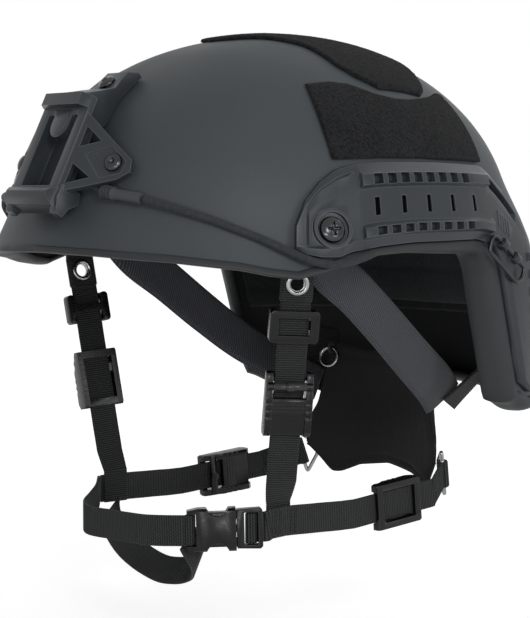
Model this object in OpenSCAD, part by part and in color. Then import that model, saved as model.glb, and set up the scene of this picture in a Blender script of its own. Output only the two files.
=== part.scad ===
// Combat helmet: a hard shell with a front device mount, side rails, loop panels,
// a padded liner and a four point harness with a side release buckle.
// The front faces -Y, up is +Z and the wearer's left is +X.
// The origin is the middle of the head opening at the height of the brow edge.

/* [Shell] */
// Half length from the origin to the brow
brow_len = 128; // [118:1:140]
// Half length from the origin to the back of the head
back_len = 136; // [126:1:150]
// Half width over the ears
half_w = 117; // [108:1:128]
// Height of the crown above the brow edge
crown_h = 110; // [100:1:122]
// Wall of the shell
shell_t = 8; // [6:0.5:10]
// Squareness of the shell seen from above
plan_power = 2.4; // [2:0.05:2.8]
// How far the crown leans back
lean = 6.5; // [0:0.5:12]
// Reach of the flared brim
brow_flare = 7; // [2:0.5:10]
// Height of the flared brim
brow_flare_h = 26; // [16:1:40]
// Reach of the flare at the nape
nape_flare = 12; // [4:0.5:16]
// Depth of the rear rim below the brow edge
rear_drop = 80; // [60:1:95]

/* [Edge trim] */
// Width of the trim across the rim
trim_w = 12.4; // [11:0.2:16]
// Height of the trim
trim_h = 4.4; // [4:0.2:6]
// Clearance between the trim and the shell
trim_gap = 0.35; // [0.1:0.05:0.5]

/* [Loop panels] */
// Thickness of the loop panels
panel_t = 2; // [1:0.25:4]
// Clearance between a glued piece and the shell
seat_gap = 0.35; // [0.2:0.05:0.6]

/* [Side rails] */
// Thickness of the rail plate
rail_t = 5; // [4:0.5:7]
// Height of the ribbed bars above the shell
bar_t = 8; // [7:0.5:10]
// Width of one window in the ribbed bars, in degrees round the shell
window_deg = 2.6; // [1.8:0.1:3]
// Pitch of the windows, in degrees round the shell
window_pitch = 4; // [3.8:0.05:4.1]
// Width of one slot between the bars, in degrees round the shell
slot_deg = 1.4; // [0.8:0.1:1.6]
// Diameter of the rail screw heads
rail_screw_d = 13.5; // [10:0.5:15]
// Diameter of the rail screw shanks
rail_shank_d = 5; // [4:0.5:6]
// Wire of the rail bails
bail_wire = 2; // [1.6:0.1:2.4]

/* [Device mount] */
// Width of the mount plate
plate_w = 39; // [34:1:44]
// Height of the mount plate
plate_h = 43; // [38:1:48]
// Thickness of the mount plate
plate_t = 3; // [2:0.5:4]
// Width of the pocket in the mount plate
pocket_w = 25.4; // [22:0.2:28]
// Depth of the pocket behind the plate
pocket_d = 9; // [6:0.5:10]
// Stand-off of the plate foot in front of the shell
plate_reach = 16; // [13:0.5:20]
// Height of the plate foot above the brow edge
plate_z = 31.5; // [28:0.5:36]
// Lean of the plate
plate_tilt = 26; // [20:1:32]
// Thickness of the side struts
strut_t = 2.8; // [2:0.2:3.4]
// Diameter of the mount screw heads
mount_screw_d = 9; // [7:0.5:10]
// Diameter of the mount screw shanks
mount_shank_d = 4; // [3:0.5:5]

/* [Elastic cords] */
// Diameter of the elastic cord
cord_d = 3.6; // [3:0.2:5]
// Diameter of the rubber boot on the cord
boot_d = 7; // [6:0.5:9]

/* [Liner] */
// Thickness of the headband
band_t = 6; // [4:0.5:8]
// Height of the headband's upper edge
band_top = 46; // [36:1:56]
// Thickness of the liner cushions
cushion_t = 12; // [8:1:16]
// Radius of the crown cushion
crown_pad_r = 46; // [36:1:56]

/* [Harness] */
// Width of the webbing
web_w = 15; // [12:0.5:18]
// Thickness of the webbing
web_t = 1.6; // [1.2:0.1:2]
// Half width between the junctions at the jaw
jaw_x = 70; // [62:1:78]
// How far the junctions lie in front of the origin
jaw_y = 42; // [34:1:50]
// Depth of the junctions below the brow edge
jaw_z = 132; // [118:1:144]
// Half width between the nape rings
nape_x = 59; // [50:1:66]
// How far the nape rings lie behind the origin
nape_y = 81; // [72:1:90]
// Depth of the nape rings below the brow edge
nape_z = 121; // [112:1:130]
// Turn of the left front strap about its own length
turn_left = 60; // [50:1:110]
// Turn of the right front strap about its own length
turn_right = 100; // [50:1:110]
// Length of the ladder locks
lock_l = 31; // [26:1:36]
// Distance from the eyelet to the front ladder locks
lock_at = 60; // [54:1:70]
// Distance from the eyelet to the slide loops
slide_at = 21; // [18:1:26]
// Width of the padded bands
padded_w = 24; // [18:1:30]
// Thickness of the padded bands
padded_t = 6; // [4:0.5:8]
// Length of the side release buckle
buckle_l = 37; // [34:1:44]
// Height of the side release buckle
buckle_h = 21; // [19:0.5:24]
// Thickness of the side release buckle
buckle_t = 9; // [8:0.5:11]
// Wire of the nape rings
ring_wire = 2.2; // [1.8:0.1:2.6]

/* [Hidden] */
$fn = 48;

// Powers of the dome's height curve
dome_rise = 2.07;
dome_round = 2.1;
// Clearance between pieces that move on each other
run_gap = 0.35;

// Colours
shell_c = "#43484b";
plastic_c = "#3a3e42";
loop_c = "#2b2d2f";
web_c = "#1c1d1f";
pad_c = "#303136";
metal_c = "#b9bcbe";
rubber_c = "#33363a";

// Vectors and blends
function unit(v) = v / norm(v);
function mix(a, b, t) = a + (b - a) * t;
function ease(t) = let (c = min(1, max(0, t))) c * c * (3 - 2 * c);

// Surface of the shell. A direction is an angle in degrees, 0 at the brow and 90 at the left ear.
// Height of the shell's rim at each direction
rim_points = [
  [0, 1.8], [17, 0.9], [34, -1.3], [48, -4.8], [54, -7.6], [60, -9.3], [66, -5.8], [72, -1.2],
  [80, 1.2], [90, 2.6], [112, 3.2], [115, 2.6], [117.5, 0.4], [119.2, -3.6], [120.5, -10]
];
// The rear edge of the ear cut falls at a steady rate and turns into the rear rim
cut_start = 120.5;
cut_end = 127.5;
function rim_z(a) =
  let (b = abs(a), s = (b - cut_start) / (cut_end - cut_start), low = -rear_drop)
  b <= cut_start ? lookup(b, rim_points)
  : b <= cut_end ? mix(-10, low + 5, s)
  : b <= 134 ? mix(low + 5, low, ease((b - cut_end) / 6))
  : mix(low, low + 6, ease((b - 134) / 46));
// Direction of the cut's rear edge at a height below the corner
function cut_dir(z) = mix(cut_start, cut_end, (-10 - z) / (rear_drop - 15));

function plan_r(a, grow) =
  let (len = (cos(a) > 0 ? brow_len : back_len) + grow)
  pow(pow(abs(sin(a)) / (half_w + grow), plan_power) + pow(abs(cos(a)) / len, plan_power), -1 / plan_power);
function dome(z, grow) =
  z <= 0 ? 1 : pow(max(0, 1 - pow(z / (crown_h + grow), dome_rise)), 1 / dome_round);
function flare(a, z) =
  brow_flare * ease((96 - abs(a)) / 36) * pow(min(1, max(0, 1 - (z - rim_z(a)) / brow_flare_h)), 2)
  + nape_flare * ease((abs(a) - 116) / 24) * ease((38 - z) / 50);
function wall_r(a, z, grow) = plan_r(a, grow) * dome(z, grow) + flare(a, z);
function skin(a, z, grow = 0) =
  let (r = wall_r(a, z, grow))
  [r * sin(a), lean * max(0, z) / crown_h - r * cos(a), z];
function skin_out(a, z, grow = 0) =
  unit(cross(skin(a + 0.5, z, grow) - skin(a - 0.5, z, grow), skin(a, z + 0.5, grow) - skin(a, z - 0.5, grow)));
// The same surface from a place in plan
function dome_z(x, y, grow) =
  let (a = atan2(x, -y), r = norm([x, y]) / plan_r(a, grow))
  (crown_h + grow) * pow(max(0, 1 - pow(min(1, r), dome_round)), 1 / dome_rise);
function crown_at(x, y, grow) =
  let (guess = dome_z(x, y, grow))
  [x, y, dome_z(x, y - lean * guess / crown_h, grow)];

// Lays a piece on the surface: X runs round the shell, Y up and Z outward
module on_skin(a, z, grow = 0) {
  p = skin(a, z, grow);
  n = skin_out(a, z, grow);
  t = unit(cross([0, 0, 1], n));
  u = cross(n, t);
  multmatrix([[t.x, u.x, n.x, p.x], [t.y, u.y, n.y, p.y], [t.z, u.z, n.z, p.z]]) children();
}

// Lays a piece along a line: Z runs from the first point to the second, X lies near the given width
module along(from, to, width) {
  z = unit(to - from);
  y = unit(cross(z, width));
  x = cross(y, z);
  multmatrix([[x.x, y.x, z.x, from.x], [x.y, y.y, z.y, from.y], [x.z, y.z, z.z, from.z]]) children();
}

// Solid through a list of rings that run counter-clockwise about the way they are stacked
function two(a, b, c, d) = [[a, b, c], [a, c, d]];
module loft(rings, closed = false) {
  n = len(rings);
  m = len(rings[0]);
  walls = [
    for (k = [0:n - (closed ? 1 : 2)], i = [0:m - 1])
      let (j = (i + 1) % m, l = (k + 1) % n)
      each two(k * m + i, l * m + i, l * m + j, k * m + j)
  ];
  first = [for (i = [1:m - 2]) [0, i, i + 1]];
  last = [for (i = [1:m - 2]) [(n - 1) * m, (n - 1) * m + i + 1, (n - 1) * m + i]];
  polyhedron([for (r = rings) each r], closed ? walls : concat(walls, first, last));
}

// Solid between an outer and an inner grid of points. Cells named in open are left out.
module slab(outer, inner, open = []) {
  n = len(outer);
  m = len(outer[0]);
  o = n * m;
  function gap(j, i) =
    j < 0 || i < 0 || j > n - 2 || i > m - 2 || len([for (c = open) if (c == [j, i]) c]) > 0;
  function at(j, i) = j * m + i;
  faces = [
    for (j = [0:n - 2], i = [0:m - 2])
      if (!gap(j, i)) each [
        each two(at(j, i), at(j + 1, i), at(j + 1, i + 1), at(j, i + 1)),
        each two(o + at(j, i), o + at(j, i + 1), o + at(j + 1, i + 1), o + at(j + 1, i)),
        if (gap(j - 1, i)) each two(at(j, i), at(j, i + 1), o + at(j, i + 1), o + at(j, i)),
        if (gap(j, i + 1)) each two(at(j, i + 1), at(j + 1, i + 1), o + at(j + 1, i + 1), o + at(j, i + 1)),
        if (gap(j + 1, i)) each two(at(j + 1, i + 1), at(j + 1, i), o + at(j + 1, i), o + at(j + 1, i + 1)),
        if (gap(j, i - 1)) each two(at(j + 1, i), at(j, i), o + at(j, i), o + at(j + 1, i))
      ]
  ];
  polyhedron([for (r = outer) each r, for (r = inner) each r], faces);
}

// Flat webbing along a route, with its width near the given direction
function web_rings(route, width, w, t) = [
  for (i = [0:len(route) - 1])
    let (
      n = len(route),
      d = unit(route[min(i + 1, n - 1)] - route[max(i - 1, 0)]),
      across = is_list(width[0]) ? width[i] : width,
      face = unit(cross(d, across)),
      side = cross(face, d)
    )
    [
      route[i] + side * w / 2 - face * t / 2, route[i] + side * w / 2 + face * t / 2,
      route[i] - side * w / 2 + face * t / 2, route[i] - side * w / 2 - face * t / 2
    ]
];
module webbing(route, width, w = web_w, t = web_t) {
  loft(web_rings(route, width, w, t));
}

// Round cord along a route
module cord(route, d, sides = 8) {
  n = len(route);
  loft([
    for (i = [0:n - 1])
      let (
        way = unit(route[min(i + 1, n - 1)] - route[max(i - 1, 0)]),
        a = unit(cross([0, 0, 1], way)),
        b = cross(way, a)
      )
      [for (k = [0:sides - 1]) route[i] + (a * cos(k * 360 / sides) + b * sin(k * 360 / sides)) * d / 2]
  ]);
}

// Smooth route through a few chosen points
function curve(p, steps) = [
  for (i = [0:len(p) - 2], k = [0:steps - 1])
    let (
      a = p[max(i - 1, 0)], b = p[i], c = p[i + 1], d = p[min(i + 2, len(p) - 1)],
      t = k / steps
    )
    (2 * b + (c - a) * t + (2 * a - 5 * b + 4 * c - d) * t * t + (3 * b - a - 3 * c + d) * t * t * t) / 2,
  p[len(p) - 1]
];

// Both sides alike
module other_side() {
  mirror([1, 0, 0]) children();
}

// Shell
half_dirs = [
  for (a = [0:6:102]) a, for (a = [106:2:134]) a, 140, 148, 156, 164, 172
];
dirs = concat(half_dirs, [180], [for (i = [len(half_dirs) - 1:-1:1]) -half_dirs[i]]);
rim_start = 6;
function dome_row(f, grow) =
  [for (a = dirs) skin(a, (crown_h + grow) * pow(cos(f), 2 / dome_rise), grow)];
function rim_row(f, grow) = [for (a = dirs) skin(a, mix(rim_start, rim_z(a), f), grow)];
module shell() {
  inside = concat(
    [for (f = [4, 14, 24, 36, 48, 58, 67, 75, 83]) dome_row(f, -shell_t)],
    [for (f = [0, 0.15, 0.3, 1]) rim_row(f, -shell_t)]
  );
  outside = concat(
    [for (f = [1, 0.75, 0.5, 0.2, 0]) rim_row(f, 0)],
    [for (f = [80, 73, 64, 54, 43, 30, 17, 5]) dome_row(f, 0)]
  );
  color(shell_c) loft(concat(inside, outside));
}

// Edge trim, a channel that grips the rim. Its nose swells round the ear cut and the rear.
trim_web = 2;
trim_swell = 2.6;
function trim_grow(a) = ease((abs(a) - 80) / 36);
trim_lip = trim_h - trim_web;
module edge_trim() {
  wall = shell_t / 2 + trim_gap;
  lip = trim_lip;
  profile = function (a)
    let (
      grow = trim_grow(a),
      side = trim_w / 2 + 0.7 * grow,
      inner = trim_w / 2 + 3.8 * grow,
      web = trim_web + trim_swell * grow
    )
    [
      [side, lip], [wall, lip], [wall, -trim_gap], [-wall, -trim_gap], [-wall, lip], [0.8 - inner, lip],
      [-inner, lip - 1.2], [-inner, -0.3 * web], [-0.8 * inner, -0.8 * web], [-0.35 * inner, -web],
      [0.35 * side, -web], [0.8 * side, -0.8 * web], [side, -0.3 * web]
    ];
  rings = [
    for (i = [0:len(dirs) - 1])
      let (
        a = dirs[i],
        z = rim_z(a),
        p = (skin(a, z, 0) + skin(a, z, -shell_t)) / 2,
        out = unit(skin(a, z, 0) - skin(a, z, -shell_t)),
        a1 = dirs[(i + 1) % len(dirs)],
        a0 = dirs[(i + len(dirs) - 1) % len(dirs)],
        way = unit(unit(skin(a1, rim_z(a1)) - skin(a, z)) + unit(skin(a, z) - skin(a0, rim_z(a0)))),
        n = skin_out(a, z + 1),
        up = unit(cross(n, way))
      )
      [for (q = profile(a)) p + out * q.x + up * q.y]
  ];
  color(rubber_c) loft(rings, closed = true);
}

// Loop panels
panel_lift = seat_gap + panel_t;
module crown_loop_panel() {
  wing = 83;
  front = [[-83, 12], [-76, 2], [-68, -3], [-45, -5], [-25, -15], [-12, -27], [0, -30],
    [12, -27], [25, -15], [45, -5], [68, -3], [76, 2], [83, 12]];
  rear = [[-83, 40], [-78, 47], [-66, 53], [-40, 62], [0, 68], [40, 62], [66, 53], [78, 47], [83, 40]];
  xs = [-83, -77, -68, -57, -45, -35, -25, -12, 0, 12, 25, 35, 45, 57, 68, 77, 83];
  grid = function (grow) [
    for (f = [0:0.125:1]) [
      for (x = xs) crown_at(x * half_w / 117, mix(lookup(x, front), lookup(x, rear), f), grow)
    ]
  ];
  color(loop_c) slab(grid(panel_lift), grid(seat_gap));
}
module left_loop_panel() {
  // Each rib runs from the lower edge to the upper edge, whose height is a share of the crown's
  ribs = [
    [69, 45, 65, 0.745], [76, 45.5, 74, 0.759], [83, 46, 82, 0.751], [90, 46, 91, 0.709],
    [98, 46, 99, 0.689], [104, 45.5, 105, 0.687], [110, 45.3, 112, 0.695], [116, 45, 119, 0.707],
    [122, 44.5, 126, 0.727]
  ];
  grid = function (grow) [
    for (f = [0:0.2:1]) [for (r = ribs) skin(mix(r[0], r[2], f), mix(r[1], r[3] * crown_h, f), grow)]
  ];
  color(loop_c) slab(grid(panel_lift), grid(seat_gap));
}
module right_loop_panel() {
  other_side() left_loop_panel();
}

// Liner
liner_gap = 0.8;
liner_lift = -shell_t - liner_gap;
// The lower hem keeps clear of the trim, also beside the steep rear edge of the ear cut
function band_low(a) = max(max(rim_z(a), rim_z(abs(a) - 2.6)) + 8, -39);
module headband() {
  ring = function (f, grow) [for (a = dirs) skin(a, mix(band_top, band_low(a), f), grow)];
  inner = liner_lift - band_t;
  color(pad_c) loft(concat(
    [ring(0, liner_lift), ring(0, inner + 1)],
    [for (f = [0.06, 0.25, 0.42, 0.55, 0.68, 0.82, 0.94]) ring(f, inner)],
    [ring(1, inner + 1), ring(1, liner_lift)],
    [for (f = [0.7, 0.5, 0.32, 0.15]) ring(f, liner_lift)]
  ), closed = true);
}

// A crowned cushion on the inner side of the headband or dome
module wall_cushion(a0, a1, z0, z1) {
  top = liner_lift - band_t - liner_gap;
  across = 10;
  up = 6;
  grid = function (puff) [
    for (j = [0:up]) [
      for (i = [0:across])
        let (
          u = i / across * 2 - 1,
          v = j / up * 2 - 1,
          draw = 1 - 0.08 * v * v,
          crown = (1 - pow(u, 4)) * (1 - pow(v, 4))
        )
        skin(
          mix(a0, a1, (u * draw + 1) / 2),
          mix(z0, z1, (v * (1 - 0.08 * u * u) + 1) / 2),
          top - puff * (1.5 + (cushion_t - 1.5) * crown)
        )
    ]
  ];
  color(pad_c) slab(grid(0), grid(1));
}
module brow_cushion() {
  wall_cushion(-34, 34, 12, 44);
}
module rear_cushion() {
  wall_cushion(150, 210, -34, 6);
}
module left_cushion() {
  wall_cushion(94, 136, 10, 42);
}
module right_cushion() {
  other_side() left_cushion();
}
module crown_cushion() {
  sides = 20;
  rows = [0.12, 0.45, 0.75, 0.93, 1];
  place = function (r, k, grow)
    crown_at(crown_pad_r * r * sin(k * 360 / sides), lean - crown_pad_r * r * cos(k * 360 / sides), grow);
  ring = function (r, puff)
    [for (k = [0:sides - 1]) place(r, k, liner_lift - puff * (2 + (cushion_t - 2) * (1 - pow(r, 4))))];
  color(pad_c) loft(concat(
    [for (r = rows) ring(r, 1)],
    [for (i = [len(rows) - 1:-1:0]) ring(rows[i], 0)]
  ));
}

// Rivets through the lower hem of the headband
rivet_dirs = [40, 142, -142, -40];
module liner_rivets() {
  color(plastic_c)
    for (a = rivet_dirs)
      on_skin(a, band_low(a) + 9, liner_lift - band_t - liner_gap) rotate([180, 0, 0]) {
        cylinder(d = 9, h = 1.2);
        cylinder(d = 6, h = 2);
      }
}

// Device mount. Its plate has its own frame: X across, Y up the plate and Z outward.
plate_foot = [0, skin(0, plate_z).y - plate_reach, plate_z];
module on_plate() {
  translate(plate_foot) rotate([90 - plate_tilt, 0, 0]) children();
}
function plate_point(x, v, w) =
  plate_foot + [
    x,
    v * sin(plate_tilt) - w * cos(plate_tilt),
    v * cos(plate_tilt) + w * sin(plate_tilt)
  ];
// Corners of a side strut on the left
strut_low = plate_point(plate_w / 2, 0.4, -0.6);
strut_top = plate_point(plate_w / 2, plate_h - 4, -0.6);
strut_foot = skin(22.3, 43.3, 5);
strut_n = unit(cross(strut_low - strut_top, strut_foot - strut_top));
strut_v = unit(strut_top - strut_low);
strut_u = cross(strut_v, strut_n);
// Screw place in the strut's plane
screw_u = (strut_foot - strut_low) * strut_u - 9;
screw_v = (strut_foot - strut_low) * strut_v - 1.3;
function strut_point(u, v, w) = strut_low + strut_u * u + strut_v * v + strut_n * w;
module on_strut() {
  p = strut_low;
  u = strut_u;
  v = strut_v;
  n = strut_n;
  multmatrix([[u.x, v.x, n.x, p.x], [u.y, v.y, n.y, p.y], [u.z, v.z, n.z, p.z]]) children();
}
// Gap from the strut's underside down to the shell at the screw
strut_drop = 2.2;

module mount_plate() {
  tongue_r = 7.5;
  slot_r = (pocket_w / 2 - tongue_r) / 2;
  slot_x = tongue_r + slot_r;
  tongue_v = plate_h - 8;
  on_plate() {
    // Face with the pocket and its hanging tongue
    translate([0, 0, -plate_t]) linear_extrude(plate_t) difference() {
      translate([-plate_w / 2, 0]) square([plate_w, plate_h + 1]);
      difference() {
        union() {
          translate([-pocket_w / 2, 1.5]) square([pocket_w, plate_h - 5]);
          for (s = [-1, 1]) translate([s * slot_x, plate_h - 3.5]) circle(slot_r);
        }
        translate([-tongue_r, tongue_v]) square([2 * tongue_r, 10]);
        translate([0, tongue_v]) circle(tongue_r);
      }
    }
    // Disc on the tongue
    translate([0, tongue_v + 0.6, -1]) scale([1, 1.15, 1]) cylinder(r = tongue_r - 1.6, h = 1.5, $fn = 32);
    // Pocket walls and floor
    translate([0, 0, -pocket_d]) difference() {
      translate([-pocket_w / 2 - 2, -0.5, -1.5]) cube([pocket_w + 4, plate_h + 1, pocket_d]);
      translate([-pocket_w / 2, 1.5, 0]) cube([pocket_w, plate_h - 2.5, pocket_d]);
    }
    // Upper bar with chamfered ends
    translate([0, plate_h, 0]) rotate([-90, 0, 0]) linear_extrude(6.5)
      polygon([
        [-plate_w / 2, 3], [plate_w / 2, 3], [plate_w / 2, -0.5], [plate_w / 2 - 3.5, -4.5],
        [-plate_w / 2 + 3.5, -4.5], [-plate_w / 2, -0.5]
      ]);
    // Lower bar with drawn-in ends
    intersection() {
      rotate([0, 90, 0]) linear_extrude(plate_w + 4, center = true)
        polygon([[3, 0.5], [0, 0.5], [-2.2, -0.6], [-3.8, -3], [-3.4, -5.4], [0, -8.6], [9, -9.6], [10, 0.5]]);
      translate([0, 2, 0]) rotate([90, 0, 0]) linear_extrude(16)
        polygon([
          [-plate_w / 2 - 1, -12], [plate_w / 2 + 1, -12], [plate_w / 2 + 1, 0.5], [plate_w / 2 - 2.5, 4.4],
          [-plate_w / 2 + 2.5, 4.4], [-plate_w / 2 - 1, 0.5]
        ]);
    }
    // Wedge feet beside the lower bar
    for (s = [-1, 1])
      translate([s * (plate_w / 2 + 0.4), 0, 0]) rotate([0, 90, 0]) linear_extrude(5.2, center = true)
        polygon([[1, 2.5], [0.4, -4], [3, -11.4], [7.2, -12], [9, -7], [13, -3.2], [12, 2.5]]);
  }
}
module side_strut() {
  pv = plate_h - 4;
  lap = 1.2;
  on_strut() {
    difference() {
      translate([0, 0, -strut_t]) linear_extrude(strut_t) difference() {
        polygon([
          [-lap, -2], [-lap, pv + 2], [3, pv], [screw_u - 3, screw_v + 10], [screw_u + 9.5, screw_v + 3.2],
          [screw_u + 11, screw_v - 2.8], [screw_u + 5.3, screw_v - 8.2], [screw_u - 3, screw_v - 12], [2.8, -1]
        ]);
        polygon([[2.8, pv - 5.5], [screw_u - 10, screw_v + 9], [2.8, screw_v + 4]]);
        polygon([[2.8, screw_v - 5], [screw_u - 9, screw_v - 10], [2.8, 3.2]]);
      }
      translate([0, 0, -1]) linear_extrude(2) polygon([
        [screw_u - 15.5, screw_v + 0.8], [screw_u - 3, screw_v + 7.5],
        [screw_u + 7, screw_v + 1.5], [screw_u + 6, screw_v - 4.5], [screw_u - 4, screw_v - 9.3]
      ]);
      translate([screw_u, screw_v, -9]) cylinder(d = mount_shank_d + 0.6, h = 12);
    }
    translate([screw_u, screw_v, -strut_t - strut_drop]) difference() {
      cylinder(d = 10, h = strut_drop + 0.2);
      translate([0, 0, -1]) cylinder(d = mount_shank_d + 0.6, h = 9);
    }
  }
}
// Arm from the top of the plate up to a screw seat above the shell
arm_gap = 1;
arm_seat_lift = 8;
plate_top = plate_point(0, plate_h, 0);
arm_z = plate_top.z + 13;
arm_seat = skin(0, arm_z, arm_seat_lift);
arm_tail = skin(0, arm_z + 3, arm_gap);
module on_arm() {
  on_skin(0, arm_z, arm_seat_lift) children();
}
module mount_arm() {
  up = cross(skin_out(0, arm_z, arm_seat_lift), [1, 0, 0]);
  side = function (v) [v.y, v.z];
  top = side(plate_top);
  seat = side(arm_seat);
  way = side(up);
  under = [for (z = [arm_z - 1, arm_z - 11, arm_z - 20]) side(skin(0, z, arm_gap))];
  difference() {
    intersection() {
      rotate([90, 0, 90]) linear_extrude(40, center = true)
        polygon(concat(
          [top + [-0.9, -3.2], top + [2.1, 7.4], top + [14.6, 9.4], seat - way * 4, seat + way * 8.5],
          [side(arm_tail) + [-1.6, 2.4], side(arm_tail)], under, [top + [8.6, -10.2]]
        ));
      linear_extrude(arm_z + 30) polygon([
        [-17, top.x - 2.5], [17, top.x - 2.5], [16, top.x + 10.5], [9, seat.x + 2.5], [8, arm_tail.y + 0.5],
        [-8, arm_tail.y + 0.5], [-9, seat.x + 2.5], [-16, top.x + 10.5]
      ]);
    }
    on_arm() {
      translate([0, 0, -20]) cylinder(d = mount_shank_d + 0.6, h = 30);
      cylinder(d = mount_screw_d + 1, h = 8);
    }
    // Lightening cuts beside the screw
    for (s = [-1, 1])
      translate([0, 0, plate_top.z + 6]) linear_extrude(20)
        polygon([[s * 4, top.x + 7.6], [s * 12, top.x + 7.6], [s * 7, top.x + 17.6]]);
  }
}
module mount_frame() {
  color(plastic_c) {
    mount_plate();
    side_strut();
    other_side() side_strut();
    mount_arm();
  }
}
module pan_screw(head_d, head_h, shank_d, shank_l, socket_d) {
  difference() {
    union() {
      intersection() {
        cylinder(d = head_d, h = head_h);
        translate([0, 0, head_h - head_d * 0.8]) sphere(d = head_d * 1.6);
      }
      translate([0, 0, -shank_l]) cylinder(d = shank_d, h = shank_l + 0.1);
    }
    translate([0, 0, head_h - 1.4]) cylinder(d = socket_d, h = 3, $fn = 6);
  }
}
module mount_screws() {
  color(metal_c) {
    for (s = [1, -1])
      scale([s, 1, 1]) on_strut() translate([screw_u, screw_v, -0.95])
        pan_screw(mount_screw_d, 2.6, mount_shank_d, strut_t + strut_drop - 1.4, 3);
    on_arm() translate([0, 0, 0.05])
      pan_screw(mount_screw_d, 2.6, mount_shank_d, arm_seat_lift - arm_gap, 3);
  }
}

// Side rails. Each rib runs from the lower edge to the upper edge of the rail.
first_window = 79.3;
windows = 8;
window_mid = [for (k = [0:windows - 1]) first_window + k * window_pitch];
slot_mid = [for (k = [0:2:windows]) first_window + k * window_pitch];
bar_start = 75;
bar_end = 116.4;
rail_dirs = concat(
  [59.5, 61.5, 62.4, 65, 69, 72, 73.6, bar_start - 0.3, bar_start],
  [
    for (m = window_mid)
      let (slot = len([for (s = slot_mid) if (abs(s - m) < 0.01) s]) > 0)
      each slot ? [m - window_deg / 2, m - slot_deg / 2, m + slot_deg / 2, m + window_deg / 2]
        : [m - window_deg / 2, m + window_deg / 2]
  ],
  [slot_mid[4] - slot_deg / 2, slot_mid[4] + slot_deg / 2, bar_end]
);
rail_low = [[59.5, 3.5], [61.5, 1], [65, -0.6], [69, -0.8], [72.5, 1], [84, 3.6], [118, 3]];
function rail_low_z(a) = max(lookup(a, rail_low), rim_z(a) + trim_lip + 0.5);
rail_high = [[59.5, 15], [61.5, 26], [65, 34.4], [69, 40], [72.5, 42.2], [77, 43.4], [88, 44], [100, 44], [118, 42.6]];
// The rail's tail turns round the corner of the ear cut and runs down beside its rear edge.
// Each row: direction and height of the inner edge, direction and height of the outer edge
tail_in = 1.8;
tail_turn = [
  [117.6, 6.2, 118.6, 42], [118.9, 4.2, 121, 38.5], [120.4, 0.6, 125.4, 30.5], [121.6, -4.4, 129.4, 21]
];
tail_drop = [[-9, 131.6, 10], [-20, 132.6, -6], [-33, 133.4, -22], [-47, 134.4, -41], [-59, 136, -57], [-68, 137.2, -68]];
tail_plan = concat(
  tail_turn,
  [for (t = tail_drop) [cut_dir(t[0]) + tail_in, t[0], t[1], t[2]]],
  [[132.6, 5.6 - rear_drop, 137, 7 - rear_drop]]
);
rail_ribs = concat(
  [for (a = rail_dirs) [a, rail_low_z(a), a, lookup(a, rail_high)]],
  tail_plan
);
// Heights of the rail's rows at mid length. The two bars lie between rows 1 to 4 and 7 to 10.
rail_rows = [2.4, 6.8, 8.4, 12.6, 14.4, 18, 27, 31.6, 33.6, 38.8, 40.6, 44];
low_windows = 2;
slots = 5;
high_windows = 8;
rows = len(rail_rows);
// Deep pocket where the rail turns down
pocket_cells = [for (i = [len(rail_dirs):len(rail_dirs) + 2], j = [7, 8]) [j, i]];
module left_rail() {
  cols = len(rail_ribs);
  on_bar = [for (j = [0:rows - 1]) (j == 2 || j == 3 || j == 8 || j == 9)];
  lift = function (i, j)
    let (a = rail_ribs[i][0], edge = j == 0 || j == rows - 1)
    on_bar[j] && a >= bar_start && a <= bar_end ? bar_t
    : edge ? rail_t - 1.2
    : a > 62 && a < 73 && j > 1 && j < rows - 2 ? front_t
    : rail_t;
  point = function (i, j, grow)
    let (r = rail_ribs[i], f = (rail_rows[j] - rail_rows[0]) / (rail_rows[rows - 1] - rail_rows[0]))
    skin(mix(r[0], r[2], f), mix(r[1], r[3], f), grow);
  column = function (a) [for (i = [0:cols - 1]) if (abs(rail_ribs[i][0] - a) < 0.01) i][0];
  holes = concat(
    [
      for (m = window_mid, j = [low_windows, high_windows])
        let (first = column(m - window_deg / 2), last = column(m + window_deg / 2))
        for (i = [first:last - 1]) [j, i]
    ],
    [for (s = slot_mid) [slots, column(s - slot_deg / 2)]],
    pocket_cells
  );
  color(plastic_c) {
    slab(
      [for (j = [0:rows - 1]) [for (i = [0:cols - 1]) point(i, j, lift(i, j))]],
      [for (j = [0:rows - 1]) [for (i = [0:cols - 1]) point(i, j, seat_gap)]],
      holes
    );
    // Rim round the front screw
    on_skin(rail_screw_dir, rail_screw_z, front_t - 0.8) difference() {
      cylinder(r = rail_screw_d / 2 + 3, h = rail_t - front_t + 1.2);
      translate([0, 0, -1]) cylinder(r = rail_screw_d / 2 + 1.4, h = 6);
    }
    // Notched ridge along the tail's outer edge
    for (k = [0:5])
      on_skin(lookup(4 + 9 * k, ridge_dirs), -4 - 9 * k, rail_t) cube([3.6, 4.6, 2], center = true);
    // Lugs for the bail
    on_bail() for (s = [-1, 1])
      translate([s * bail_lug, 0, 0]) rotate([0, 90, 0]) difference() {
        union() {
          cylinder(r = bail_pin / 2 + 1.4, h = 4, center = true);
          translate([0, -2.4, -2]) cube([bail_lift + 0.6, 4.8, 4]);
        }
        cylinder(r = bail_pin / 2 + 0.08, h = 6, center = true);
      }
    // Grip ribs between the pocket and the bail
    for (k = [0:4])
      on_skin(120.4 + k * 0.9, 16 - k * 1.4, rail_t - 0.6) cube([0.9, 8, 2], center = true);
  }
}
module right_rail() {
  other_side() left_rail();
}
ridge_dirs = [[0, 130.6], [22, 131.6], [41, 132.6], [57, 134]];
// The front end of the rail is recessed inside a raised border
front_t = rail_t - 1.6;
rail_screw_dir = 67.5;
rail_screw_z = 12;
module rail_screws() {
  color(plastic_c)
    for (s = [1, -1])
      scale([s, 1, 1]) on_skin(rail_screw_dir, rail_screw_z, front_t + 0.3)
        pan_screw(rail_screw_d, 3.4, rail_shank_d, 0.2, 5);
}

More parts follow.
